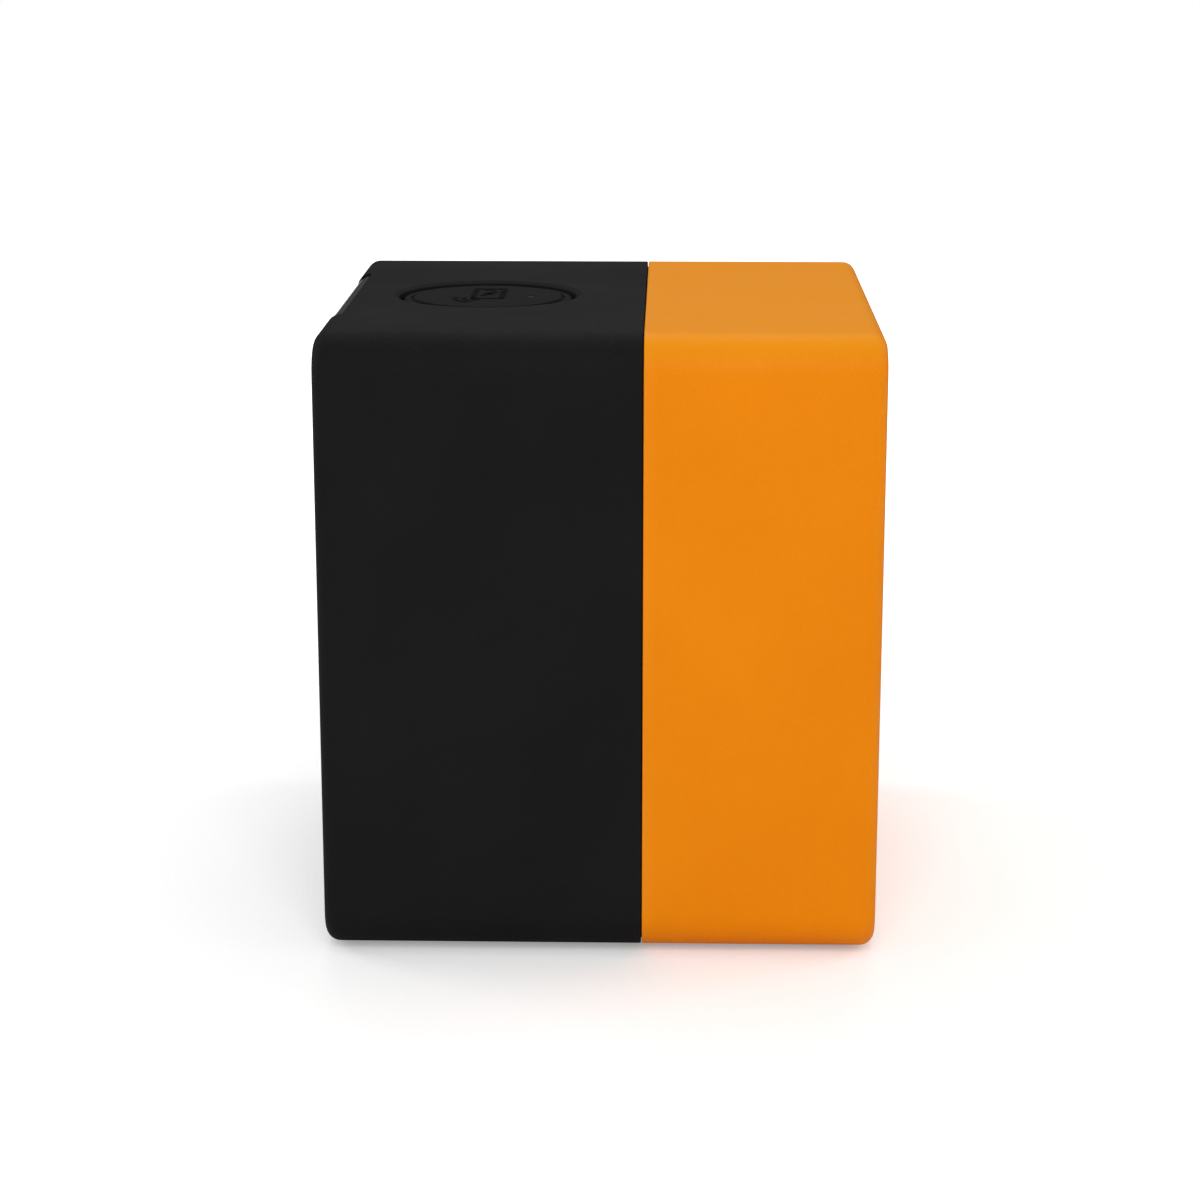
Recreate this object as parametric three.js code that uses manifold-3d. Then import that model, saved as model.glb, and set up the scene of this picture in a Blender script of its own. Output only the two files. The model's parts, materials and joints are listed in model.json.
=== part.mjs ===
// A compact camping power station, in millimetres, +Z up.
// The control panel faces -Y, the cooling grille faces +Y, and the origin is on the ground
// under the middle of the case. The case is two moulded tubs that meet on a seam plane: a black
// front tub with the sockets, the display and the wireless charging pad, and an orange rear tub.
// Four long screws, reached from the back, pull the rear tub onto the front one.
import * as THREE from "three";
import { mergeVertices } from "three/addons/utils/BufferGeometryUtils.js";
import Module from "manifold-3d";

const wasm = await Module();
wasm.setup();

// ---------------------------------------------------------------- driving dimensions

// Case
const WIDTH = 180;
const DEPTH = 170;
const HEIGHT = 193;
const FOOT_PROUD = 1.5; // how far the feet lift the case
const CORNER_RADIUS = 12; // the four long edges that run from front to back
const EDGE_RADIUS = 4.5; // the edges round the front and the rear face
const WALL = 3;
const FRONT_WALL = 7;
const REAR_WALL = 5;
const SEAM_FROM_FRONT = 98;
const LIP_LENGTH = 4; // the front tub's lip, which slides into the rear tub
const LIP_THICKNESS = 1.2;
const GAP = 0.3; // between fixed pieces that sit in or on each other

// Corner posts and the screws in them
const POST_INSET = 10; // from the post's axis to the outer faces
const POST_RADIUS = 4.5;
const POST_RIB = 2;
const SCREW_RADIUS = 1.9;
const SCREW_LENGTH = 26;
const SCREW_HEAD_RADIUS = 3;
const SCREW_HEAD_HEIGHT = 2.4;
const SCREW_SEAT = 10; // solid length of the rear post between the seam and the screw head
const SCREW_DRIVE_RADIUS = 1.2;
const SCREW_CLEARANCE = 0.25;

// Feet
const FOOT_RADIUS = 9;
const FOOT_INSET = 26;
const FOOT_RECESS = 1.2;

// Control panel
const PANEL_MARGIN = 11; // from the case's sides and its underside
const PANEL_INSET = 1.5;
const PANEL_THICKNESS = 3.4;
const PANEL_RADIUS = 7;
const PANEL_LEDGE = 4; // width of the step in the front wall that the panel rests on
const PANEL_TO_WINDOW = 7;
const LAMP_BELOW_PANEL_TOP = 11; // the rows of the panel, from centre line to centre line
const OUTLETS_BELOW_LAMP = 30;
const KEYS_BELOW_OUTLETS = 26.5;
const SOCKETS_BELOW_KEYS = 29.5;

// Display window, which wraps over the case's upper front edge
const WINDOW_WIDTH = 90;
const WINDOW_DROP = 50; // from the top of the case to the window's lower end
const WINDOW_INSET = 0.5;
const WINDOW_THICKNESS = 2;
const DISPLAY_WIDTH = 74;
const DISPLAY_HEIGHT = 32;
const DISPLAY_BELOW_TOP = 28; // from the top of the case to the display's centre
const DISPLAY_FRAME = 1; // clearance round the display in its opening
const DISPLAY_BOARD_HEIGHT = 24;

// Circuit boards
const BOARD_SETBACK = 16; // from the front face to the front of the boards behind the panel
const BOARD_THICKNESS = 1.6;

// Push buttons
const BUTTON_PROUD = 0.7; // the panel's keys; the two on the case itself are set in instead
const SHELL_KEY_INSET = 0.3;
const BUTTON_TRAVEL = 1;
const BUTTON_CLEARANCE = 0.25;
const BUTTON_FLANGE = 1.3; // how far the flange stands out round the cap
const BUTTON_FLANGE_THICKNESS = 1.2;
const BUTTON_STEM_RADIUS = 1.6;
const KEY_WIDTH = 16;
const KEY_HEIGHT = 9;
const ROUND_KEY_RADIUS = 8;

// AC outlets
const OUTLET_SIZE = 29;
const OUTLET_RADIUS = 5;
const OUTLET_PITCH = 33;
const OUTLET_PROUD = 0.5;
const OUTLET_DEPTH = 24;
const OUTLET_FACE = 2.5;
const OUTLET_WALL = 1.6;
const OUTLET_FLANGE = 1.6;
const BLADE_PITCH = 12.7;
const BLADE_SLOT_WIDTH = 2;
const BLADE_SLOT_HEIGHTS = [8.4, 6.8]; // neutral, live
const BLADE_RISE = 4; // slots above the outlet's centre
const EARTH_HOLE_RADIUS = 2.6;
const EARTH_DROP = 11.9; // earth hole below the slots
const SHUTTER_WIDTH = 21;
const SHUTTER_HEIGHT = 10.6;
const SHUTTER_THICKNESS = 2;
const SHUTTER_TRAVEL = 3.2;
const SHUTTER_WINDOW = 2.6;
const SHUTTER_RAIL = 1.5;

// USB ports
const USB_PITCH = 19;
const USB_ROW_PITCH = 15;
const USB_A = { width: 13.6, height: 6.4, depth: 13.6, wall: 0.5, radius: 0.6 };
const USB_A_TONGUE = { width: 11.1, height: 1.9, length: 9, rise: 0.9 };
const USB_C = { width: 9.4, height: 3.6, depth: 10, wall: 0.4, radius: 1.7 };
const USB_C_TONGUE = { width: 6.7, height: 0.7, length: 6.5, rise: 0 };
const PORT_SETBACK = 0.4; // from the panel's face to the port's mouth
const PORT_CLEARANCE = 0.3;

// Round sockets
const CAR_SOCKET_BORE = 10.6;
const CAR_SOCKET_WALL = 1.6;
const CAR_SOCKET_DEPTH = 42;
const CAR_SOCKET_FLANGE = 3;
const CAR_CONTACT_RADIUS = 3;
const CAR_CONTACT_LENGTH = 6;
const DC_OUT = { outer: 4.6, bore: 2.9, pin: 1.05, depth: 11, pinLength: 9 };
const DC_OUT_PITCH = 16;
const DC_IN = { outer: 6.4, bore: 4.1, pin: 0.7, depth: 12, pinLength: 10 };
const SOCKET_BASE = 1.5;

// Hinged covers over the car socket and the charging inlet
const COVER_THICKNESS = 2;
const COVER_POCKET = 1.1; // depth of the pocket in the panel that a cover lies in
const COVER_CLEARANCE = 0.4;
const COVER_LIP_WALL = 1.3;
const COVER_LIP_CLEARANCE = 0.55;
const COVER_TAB = 4; // from the disc's edge to the hinge axis
const KNUCKLE_RADIUS = 1.2;
const KNUCKLE_LENGTH = 10;
const PIVOT_RADIUS = 0.55;
const PIVOT_LENGTH = 1.2;
const PIVOT_CLEARANCE = 0.2;
const KNUCKLE_CLEARANCE = 0.35;
const COVER_SWING_ROOM = 2.9; // pocket above the hinge axis, for the open cover's edge
const CAR_COVER = { radius: 16, lipRadius: CAR_SOCKET_BORE - COVER_LIP_CLEARANCE, lipLength: 3 };
const INLET_COVER = { radius: 10.5, lipRadius: DC_IN.bore - COVER_LIP_CLEARANCE, lipLength: 1.5 };

// Lamp
const LAMP_WIDTH = 92;
const LAMP_HEIGHT = 9;
const LAMP_DOME = 1;
const LAMP_FLANGE = 1.3;
const LAMP_STRIP = { width: 80, height: 4, thickness: 1 }; // the LEDs, on the board behind

// Wireless charging pad, in the top of the front tub
const PAD_FROM_FRONT = 47;
const PAD_RIM_RADIUS = 30.3; // where the recess meets the top of the case
const PAD_WELL_RADIUS = 28.6;
const PAD_RADIUS = 26.9;
const PAD_RECESS = 0.9; // from the top of the case to the pad's face
const PAD_THICKNESS = 2.3;
const PAD_EDGE = 0.5;
const PAD_FLOOR = 2;
const PAD_BOSS_WALL = 3;
const PAD_LIGHT_OFFSET = 13.7; // the light pipe's place, behind the pad's centre
const PAD_LIGHT_RADIUS = 1.2;
const COIL_OUTER = 23;
const COIL_INNER = 9;
const COIL_THICKNESS = 2.4;
const COIL_PLATE = 1.4;

// Rear grille and intake slots
const GRILLE_WIDTH = 104;
const GRILLE_HEIGHT = 66;
const GRILLE_RADIUS = 6;
const GRILLE_INSET = 0.8;
const GRILLE_THICKNESS = 2.2;
const GRILLE_LEDGE = 3;
const GRILLE_SLOT = 3.4;
const GRILLE_SLOT_PITCH = 7;
const GRILLE_BORDER = 8;
const GRILLE_SPINE = 4; // the solid strip down the grille's middle
const INTAKE_SLOT_WIDTH = 3.2;
const INTAKE_SLOT_HEIGHT = 34;
const INTAKE_SLOT_PITCH = 8;
const INTAKE_SLOTS = 13;
const INTAKE_CENTRE = 50; // height of the slots' centre above the ground

// Fan
const FAN_SIZE = 60;
const FAN_THICKNESS = 15;
const FAN_BORE = 28;
const FAN_HUB = 11.5;
const FAN_TIP_CLEARANCE = 1;
const FAN_BLADES = 7;
const FAN_BLADE_THICKNESS = 1.4;
const FAN_BLADE_PITCH = THREE.MathUtils.degToRad(38);
const FAN_BASE = 3; // thickness of the struts and of the motor plate
const FAN_STRUT = 3;
const FAN_BELOW_TOP = 4; // from the inside of the top wall to the fan's frame

// Battery
const CELL_COUNT = 4;
const FRONT_ZONE = 71; // from the front face to the battery: room for sockets and boards
const CELL_SIDE_SPACE = 15; // from the case's inner sides to the cells
const CELL_SPACE = 0.8; // between stacked cells
const BATTERY_TO_REAR = 2.5;
const TRAY_BACK = 1.4;
const TRAY_THICKNESS = 2.5;
const TRAY_REACH = 4; // how far the tray's walls reach up beside the second cell
const CELL_TERMINAL_RADIUS = 5;
const CELL_TERMINAL_HEIGHT = 2;
const CELL_TERMINAL_INSET = 28;
const BUSBAR_THICKNESS = 1.5;
const BUSBAR_WIDTH = 14;
const LEAD_RADIUS = 2.4;

// Inverter
const SHELF_SPACE = 4; // from the battery to the inverter board, and from there to the fan
const HEATSINK = { width: 58, length: 46, height: 32, base: 4, fins: 9, fin: 2 };
const TRANSFORMER = { width: 42, length: 34, height: 30, windingRadius: 12 };
const CAPACITOR = { radius: 9, height: 30 };
const HEATSINK_MARGIN = 4; // from the inverter board's edge to the piece nearest to it
const TRANSFORMER_MARGIN = 6;
const CAPACITOR_MARGIN = 4;

// ---------------------------------------------------------------- derived places

const FRONT = -DEPTH / 2;
const REAR = DEPTH / 2;
const TOP = HEIGHT;
const CASE_HEIGHT = HEIGHT - FOOT_PROUD;
const CASE_MIDDLE = FOOT_PROUD + CASE_HEIGHT / 2;
const SEAM = FRONT + SEAM_FROM_FRONT;

const PANEL_WIDTH = WIDTH - 2 * PANEL_MARGIN;
const PANEL_BOTTOM = FOOT_PROUD + PANEL_MARGIN;
const PANEL_TOP = TOP - WINDOW_DROP - PANEL_TO_WINDOW;
const PANEL_HEIGHT = PANEL_TOP - PANEL_BOTTOM;
const PANEL_MIDDLE = (PANEL_TOP + PANEL_BOTTOM) / 2;
const PANEL_FACE = FRONT + PANEL_INSET;
const PANEL_BACK = PANEL_FACE + PANEL_THICKNESS;
const BOARD_FACE = FRONT + BOARD_SETBACK;

// Rows and columns of the control panel, measured from the panel's middle.
const COLUMN = PANEL_WIDTH / 2 - PANEL_LEDGE - OUTLET_FLANGE - (OUTLET_PITCH + OUTLET_SIZE) / 2 - 1;
const LEFT_COLUMN = -COLUMN;
const RIGHT_COLUMN = COLUMN;
const LAMP_ROW = PANEL_HEIGHT / 2 - LAMP_BELOW_PANEL_TOP;
const OUTLET_ROW = LAMP_ROW - OUTLETS_BELOW_LAMP;
const KEY_ROW = OUTLET_ROW - KEYS_BELOW_OUTLETS;
const SOCKET_ROW = KEY_ROW - SOCKETS_BELOW_KEYS;
const CAR_SOCKET_AT = [RIGHT_COLUMN, SOCKET_ROW];
const INLET_AT = [LEFT_COLUMN - OUTLET_PITCH / 2, SOCKET_ROW];
const DC_OUT_MIDDLE = (INLET_AT[0] + CAR_SOCKET_AT[0]) / 2;
const DC_OUT_AT = [-1, 1].map((side) => [DC_OUT_MIDDLE + (side * DC_OUT_PITCH) / 2, SOCKET_ROW]);
const OUTLETS_AT = [-1, 1].map((side) => [LEFT_COLUMN + (side * OUTLET_PITCH) / 2, OUTLET_ROW]);
const USB_A_AT = [-1, 1].map((side) => [
  RIGHT_COLUMN + (side * USB_PITCH) / 2,
  OUTLET_ROW + USB_ROW_PITCH / 2,
]);
const USB_C_AT = [-1, 1].map((side) => [
  RIGHT_COLUMN + (side * USB_PITCH) / 2,
  OUTLET_ROW - USB_ROW_PITCH / 2,
]);
const PANEL_KEYS = { ac_button: LEFT_COLUMN, dc_button: 0, usb_button: RIGHT_COLUMN };
const FLANK = (WINDOW_WIDTH / 2 + WIDTH / 2) / 2; // midway between the window and the case's side
const SHELL_KEYS = { power_button: -FLANK, lamp_button: FLANK };

const PAD_CENTRE_Y = FRONT + PAD_FROM_FRONT;
const PAD_FACE = TOP - PAD_RECESS;
const PAD_UNDERSIDE = PAD_FACE - PAD_THICKNESS;
const PAD_BOSS_UNDERSIDE = PAD_UNDERSIDE - GAP - PAD_FLOOR;

const FAN_CENTRE = TOP - WALL - FAN_BELOW_TOP - FAN_SIZE / 2;
const FAN_BACK = REAR - REAR_WALL - GAP;

const TRAY_FLOOR = FOOT_PROUD + WALL + GAP;
const CELLS_BOTTOM = TRAY_FLOOR + TRAY_THICKNESS + GAP;
const INVERTER_Z = FAN_CENTRE - FAN_SIZE / 2 - SHELF_SPACE;
const CELL_PITCH = (INVERTER_Z - SHELF_SPACE - CELLS_BOTTOM) / CELL_COUNT;
const CELL_HEIGHT = CELL_PITCH - CELL_SPACE;
const CELL_LENGTH = WIDTH - 2 * (WALL + CELL_SIDE_SPACE);
const BATTERY_FRONT = FRONT + FRONT_ZONE;
const BATTERY_BACK = REAR - REAR_WALL - BATTERY_TO_REAR;
const CELL_DEPTH = BATTERY_BACK - BATTERY_FRONT;

// ---------------------------------------------------------------- materials

function finish(color, roughness, metalness = 0, extra = {}) {
  return new THREE.MeshStandardMaterial({ color, roughness, metalness, ...extra });
}

const blackPlastic = finish(0x1d1d1d, 0.62);
const orangePlastic = finish(0xe78312, 0.55);
const panelPlastic = finish(0x151515, 0.45);
const smokedWindow = finish(0x08090a, 0.12);
const padRubber = finish(0x232323, 0.85);
const softRubber = finish(0x1a1a1a, 0.8);
const frostedLens = finish(0xe9e7df, 0.35, 0, { transparent: true, opacity: 0.8 });
const keyPlastic = finish(0x2b2b2b, 0.5);
const whitePlastic = finish(0xdddbd4, 0.5);
const contactPlastic = finish(0x101010, 0.5);
const nickel = finish(0xb9babb, 0.3, 1);
const steel = finish(0x8c8e90, 0.35, 1);
const copper = finish(0xb56a3c, 0.35, 1);
const aluminium = finish(0xa9abad, 0.4, 1);
const circuitBoard = finish(0x14512e, 0.5);
const cellWrap = finish(0x1f4f86, 0.4);
const ferrite = finish(0x37363a, 0.7);
const redInsulation = finish(0xa81d18, 0.5);
const blackInsulation = finish(0x151515, 0.5);

// ---------------------------------------------------------------- solids

/** A closed geometry as a manifold solid, with its shared vertices merged. */
function solidOf(geometry) {
  const bare = geometry.clone();
  bare.deleteAttribute("normal");
  bare.deleteAttribute("uv");
  const merged = mergeVertices(bare, 1e-4);
  return new wasm.Manifold(
    new wasm.Mesh({
      numProp: 3,
      vertProperties: new Float32Array(merged.attributes.position.array),
      triVerts: new Uint32Array(merged.index.array),
    }),
  );
}

/** A manifold solid as a three.js geometry with flat faces. */
function geometryOf(solid) {
  const mesh = solid.getMesh();
  const geometry = new THREE.BufferGeometry();
  geometry.setAttribute("position", new THREE.BufferAttribute(mesh.vertProperties, 3));
  geometry.setIndex(new THREE.BufferAttribute(mesh.triVerts, 1));
  const flat = geometry.toNonIndexed();
  flat.computeVertexNormals();
  return flat;
}

/** One solid out of several that touch or overlap. */
function joined(...solids) {
  return solids.reduce((whole, next) => whole.add(next));
}

/** The first solid with all the others cut out of it. */
function cut(solid, ...cutters) {
  return cutters.reduce((left, next) => left.subtract(next), solid);
}

/** A box between two corners. */
function block([x0, y0, z0], [x1, y1, z1]) {
  const geometry = new THREE.BoxGeometry(x1 - x0, y1 - y0, z1 - z0);
  geometry.translate((x0 + x1) / 2, (y0 + y1) / 2, (z0 + z1) / 2);
  return solidOf(geometry);
}

/** A rectangle with round corners, centred on [x, z]. */
function roundedRectangle(width, height, radius, [x, z] = [0, 0]) {
  const right = x + width / 2;
  const left = x - width / 2;
  const top = z + height / 2;
  const bottom = z - height / 2;
  const r = Math.min(radius, width / 2 - 0.01, height / 2 - 0.01);
  const shape = new THREE.Shape();
  shape.moveTo(left + r, bottom);
  shape.lineTo(right - r, bottom);
  shape.absarc(right - r, bottom + r, r, -Math.PI / 2, 0);
  shape.lineTo(right, top - r);
  shape.absarc(right - r, top - r, r, 0, Math.PI / 2);
  shape.lineTo(left + r, top);
  shape.absarc(left + r, top - r, r, Math.PI / 2, Math.PI);
  shape.lineTo(left, bottom + r);
  shape.absarc(left + r, bottom + r, r, Math.PI, Math.PI * 1.5);
  return shape;
}

/** An outline drawn as the front view shows it (x right, z up), solid from yFront to yBack. */
function slab(shape, yFront, yBack, curveSegments = 2) {
  const geometry = new THREE.ExtrudeGeometry(shape, {
    depth: yBack - yFront,
    bevelEnabled: false,
    curveSegments,
  });
  geometry.rotateX(Math.PI / 2);
  geometry.translate(0, yBack, 0);
  return solidOf(geometry);
}

/** An outline drawn in the YZ plane, solid from xLeft to xRight. */
function sideSlab(shape, xLeft, xRight, curveSegments = 3) {
  const geometry = new THREE.ExtrudeGeometry(shape, {
    depth: xRight - xLeft,
    bevelEnabled: false,
    curveSegments,
  });
  geometry.rotateX(Math.PI / 2);
  geometry.rotateZ(Math.PI / 2);
  geometry.translate(xLeft, 0, 0);
  return solidOf(geometry);
}

/** A round bar along Y. */
function barY(radius, yFront, yBack, [x, z] = [0, 0], segments = 16) {
  const geometry = new THREE.CylinderGeometry(radius, radius, yBack - yFront, segments);
  geometry.translate(x, (yFront + yBack) / 2, z);
  return solidOf(geometry);
}

/** A round bar along Z. */
function barZ(radius, zBottom, zTop, [x, y] = [0, 0], segments = 16) {
  const geometry = new THREE.CylinderGeometry(radius, radius, zTop - zBottom, segments);
  geometry.rotateX(Math.PI / 2);
  geometry.translate(x, y, (zBottom + zTop) / 2);
  return solidOf(geometry);
}

/** A round bar along X. */
function barX(radius, xLeft, xRight, [y, z] = [0, 0], segments = 12) {
  const geometry = new THREE.CylinderGeometry(radius, radius, xRight - xLeft, segments);
  geometry.rotateZ(Math.PI / 2);
  geometry.translate((xLeft + xRight) / 2, y, z);
  return solidOf(geometry);
}

/** A profile of [radius, height] points, turned about an upright axis. It ends on the axis. */
function turnedZ(profile, segments = 24, [x, y] = [0, 0]) {
  const points = profile.map(([radius, height]) => new THREE.Vector2(radius, height));
  const geometry = new THREE.LatheGeometry(points, segments);
  geometry.rotateX(Math.PI / 2);
  geometry.translate(x, y, 0);
  return solidOf(geometry);
}

// ---------------------------------------------------------------- the scene graph

const station = new THREE.Group();

// Everything on the control panel is modelled round the middle of the panel's face.
const panelGroup = new THREE.Group();
panelGroup.position.set(0, PANEL_FACE, PANEL_MIDDLE);
station.add(panelGroup);

/** Adds a solid to a group as a named mesh. */
function addPiece(group, name, solid, material, position = [0, 0, 0]) {
  const mesh = new THREE.Mesh(geometryOf(solid), material);
  mesh.name = name;
  mesh.position.set(...position);
  group.add(mesh);
}

// ---------------------------------------------------------------- the case

/** The whole outside of the case as one solid, before it is split at the seam. */
function caseOutside() {
  const outline = roundedRectangle(WIDTH, CASE_HEIGHT, CORNER_RADIUS);
  const geometry = new THREE.ExtrudeGeometry(outline, {
    depth: DEPTH - 2 * EDGE_RADIUS,
    bevelThickness: EDGE_RADIUS,
    bevelSize: EDGE_RADIUS,
    bevelOffset: -EDGE_RADIUS,
    bevelSegments: 5,
    curveSegments: 4,
  });
  geometry.rotateX(Math.PI / 2);
  geometry.translate(0, REAR - EDGE_RADIUS, CASE_MIDDLE);
  return solidOf(geometry);
}

/** The case's section, smaller than the outside by `inset` all round, from yFront to yBack. */
function caseCore(inset, yFront, yBack) {
  const width = WIDTH - 2 * inset;
  const height = CASE_HEIGHT - 2 * inset;
  return slab(
    roundedRectangle(width, height, CORNER_RADIUS - inset, [0, CASE_MIDDLE]),
    yFront,
    yBack,
    4,
  );
}

/** The places of the four corner posts, as [x, z]. */
function postPlaces() {
  const x = WIDTH / 2 - POST_INSET;
  const low = FOOT_PROUD + POST_INSET;
  const high = TOP - POST_INSET;
  return [
    [-x, low],
    [x, low],
    [-x, high],
    [x, high],
  ];
}

/** A corner post. */
function post(yFront, yBack, place) {
  return barY(POST_RADIUS, yFront, yBack, place, 12);
}

/** The rib that ties a corner post to the side wall. */
function postRib(yFront, yBack, [x, z]) {
  const wall = Math.sign(x) * (WIDTH / 2 - WALL / 2);
  return block(
    [Math.min(x, wall), yFront, z - POST_RIB / 2],
    [Math.max(x, wall), yBack, z + POST_RIB / 2],
  );
}

/**
 * The section of a strip that climbs the front of the case and bends over its upper edge:
 * `inset` behind the case's surface, and longer than the window by `extra` at both ends.
 */
function windowSection(inset, thickness, extra = 0) {
  const front = FRONT + inset;
  const arcY = FRONT + EDGE_RADIUS;
  const arcZ = TOP - EDGE_RADIUS;
  const outer = EDGE_RADIUS - inset;
  const inner = outer - thickness;
  const lowerEnd = TOP - WINDOW_DROP - extra;
  const shape = new THREE.Shape();
  shape.moveTo(front, lowerEnd);
  shape.lineTo(front + thickness, lowerEnd);
  shape.lineTo(front + thickness, arcZ);
  shape.absarc(arcY, arcZ, inner, Math.PI, Math.PI / 2, true);
  shape.lineTo(arcY + extra, arcZ + inner);
  shape.lineTo(arcY + extra, arcZ + outer);
  shape.lineTo(arcY, arcZ + outer);
  shape.absarc(arcY, arcZ, outer, Math.PI / 2, Math.PI, false);
  return shape;
}

/** The pocket for the display window: the window's own space, and all that lies outside it. */
function windowPocket() {
  const half = WINDOW_WIDTH / 2 + GAP;
  const outside = EDGE_RADIUS / 2;
  const depth = outside + WINDOW_INSET + WINDOW_THICKNESS + GAP;
  return sideSlab(windowSection(-outside, depth, GAP), -half, half);
}

/** The opening in the front wall through which the display looks out. */
function displayOpening() {
  const width = DISPLAY_WIDTH + 2 * DISPLAY_FRAME;
  const height = DISPLAY_HEIGHT + 2 * DISPLAY_FRAME;
  const outline = roundedRectangle(width, height, 2, [0, TOP - DISPLAY_BELOW_TOP]);
  return slab(outline, FRONT - 1, FRONT + FRONT_WALL + 1);
}

/** A recess with a plate's outline, and a smaller opening that leaves a ledge behind the plate. */
function plateSeat(width, height, radius, ledge, middle, recessFrom, recessTo, openingFrom, openingTo) {
  const recess = roundedRectangle(width + 2 * GAP, height + 2 * GAP, radius + GAP, [0, middle]);
  const opening = roundedRectangle(width - 2 * ledge, height - 2 * ledge, radius - ledge, [0, middle]);
  return joined(slab(recess, recessFrom, recessTo), slab(opening, openingFrom, openingTo));
}

/** The round recess in the top with its sloping rim, and the hole for the light pipe. */
function padWell() {
  const floor = PAD_UNDERSIDE - GAP;
  const profile = [
    [0, floor],
    [PAD_WELL_RADIUS, floor],
    [PAD_WELL_RADIUS, PAD_FACE],
    [PAD_RIM_RADIUS, TOP],
    [PAD_RIM_RADIUS, TOP + 1],
    [0, TOP + 1],
  ];
  return joined(turnedZ(profile, 40, [0, PAD_CENTRE_Y]), padLightHole());
}

/** The hole for the light pipe, through the pad and the floor under it. */
function padLightHole() {
  const place = [0, PAD_CENTRE_Y + PAD_LIGHT_OFFSET];
  return barZ(PAD_LIGHT_RADIUS + PORT_CLEARANCE, PAD_BOSS_UNDERSIDE - 1, TOP + 1, place, 10);
}

/** The places of the four feet, as [x, y]. */
function footPlaces() {
  const x = WIDTH / 2 - FOOT_INSET;
  const y = DEPTH / 2 - FOOT_INSET;
  return { front_left: [-x, -y], front_right: [x, -y], rear_left: [-x, y], rear_right: [x, y] };
}

function footRecess(place) {
  return barZ(FOOT_RADIUS + GAP, FOOT_PROUD - 1, FOOT_PROUD + FOOT_RECESS, place, 20);
}

function frontShell() {
  const outside = caseOutside().intersect(caseCore(-1, FRONT - 1, SEAM - GAP / 2));
  const lip = caseCore(WALL - LIP_THICKNESS, SEAM - 1, SEAM + LIP_LENGTH);
  const hollow = caseCore(WALL, FRONT + FRONT_WALL, SEAM + LIP_LENGTH + 1);
  const tub = cut(joined(outside, lip), hollow);

  const postFront = FRONT + FRONT_WALL - 1;
  const posts = postPlaces().flatMap((place) => [
    post(postFront, SEAM - GAP / 2, place),
    postRib(postFront, SEAM - GAP / 2, place),
  ]);
  const boss = barZ(
    PAD_WELL_RADIUS + PAD_BOSS_WALL,
    PAD_BOSS_UNDERSIDE,
    TOP - WALL + 0.5,
    [0, PAD_CENTRE_Y],
    28,
  );

  const panelSeat = plateSeat(
    PANEL_WIDTH,
    PANEL_HEIGHT,
    PANEL_RADIUS,
    PANEL_LEDGE,
    PANEL_MIDDLE,
    FRONT - 1,
    PANEL_BACK + GAP,
    PANEL_BACK,
    FRONT + FRONT_WALL + 1,
  );
  const keyHoles = Object.values(SHELL_KEYS).map((x) => {
    const outline = keyOutline("round", BUTTON_CLEARANCE, [x, TOP - DISPLAY_BELOW_TOP]);
    return slab(outline, FRONT - 1, FRONT + FRONT_WALL + 1, 4);
  });
  const pilotEnd = SEAM + SCREW_SEAT - SCREW_LENGTH - 2;
  const pilots = postPlaces().map((place) =>
    barY(SCREW_RADIUS + SCREW_CLEARANCE, pilotEnd, SEAM + 1, place, 10),
  );
  return cut(
    joined(tub, boss, ...posts),
    panelSeat,
    windowPocket(),
    displayOpening(),
    padWell(),
    ...keyHoles,
    ...pilots,
    footRecess(footPlaces().front_left),
    footRecess(footPlaces().front_right),
  );
}

/** A row of upright slots with round ends, low in the rear wall, where the air comes in. */
function intakeSlots() {
  const first = (-(INTAKE_SLOTS - 1) * INTAKE_SLOT_PITCH) / 2;
  return Array.from({ length: INTAKE_SLOTS }, (_, index) => {
    const place = [first + index * INTAKE_SLOT_PITCH, INTAKE_CENTRE];
    const radius = INTAKE_SLOT_WIDTH / 2;
    const outline = roundedRectangle(INTAKE_SLOT_WIDTH, INTAKE_SLOT_HEIGHT, radius, place);
    return slab(outline, REAR - REAR_WALL - 1, REAR + 1, 1);
  });
}

function rearShell() {
  const outside = caseOutside().intersect(caseCore(-1, SEAM + GAP / 2, REAR + 1));
  const hollow = caseCore(WALL, SEAM - 1, REAR - REAR_WALL);
  const lipGroove = caseCore(WALL - LIP_THICKNESS - GAP, SEAM - 1, SEAM + LIP_LENGTH + GAP);
  const tub = cut(outside, hollow, lipGroove);

  const postBack = REAR - REAR_WALL + 1;
  const posts = postPlaces().flatMap((place) => [
    post(SEAM + GAP / 2, postBack, place),
    postRib(SEAM + LIP_LENGTH + 2 * GAP, postBack, place),
  ]);

  const seat = REAR - GRILLE_INSET - GRILLE_THICKNESS - GAP;
  const grilleSeat = plateSeat(
    GRILLE_WIDTH,
    GRILLE_HEIGHT,
    GRILLE_RADIUS,
    GRILLE_LEDGE,
    FAN_CENTRE,
    seat,
    REAR + 1,
    REAR - REAR_WALL - 1,
    seat + 1,
  );
  const screwHoles = postPlaces().flatMap((place) => [
    barY(SCREW_RADIUS + SCREW_CLEARANCE, SEAM - 1, REAR + 1, place, 10),
    barY(SCREW_HEAD_RADIUS + SCREW_CLEARANCE, SEAM + SCREW_SEAT, REAR + 1, place, 12),
  ]);
  return cut(
    joined(tub, ...posts),
    grilleSeat,
    ...intakeSlots(),
    ...screwHoles,
    footRecess(footPlaces().rear_left),
    footRecess(footPlaces().rear_right),
  );
}

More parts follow.
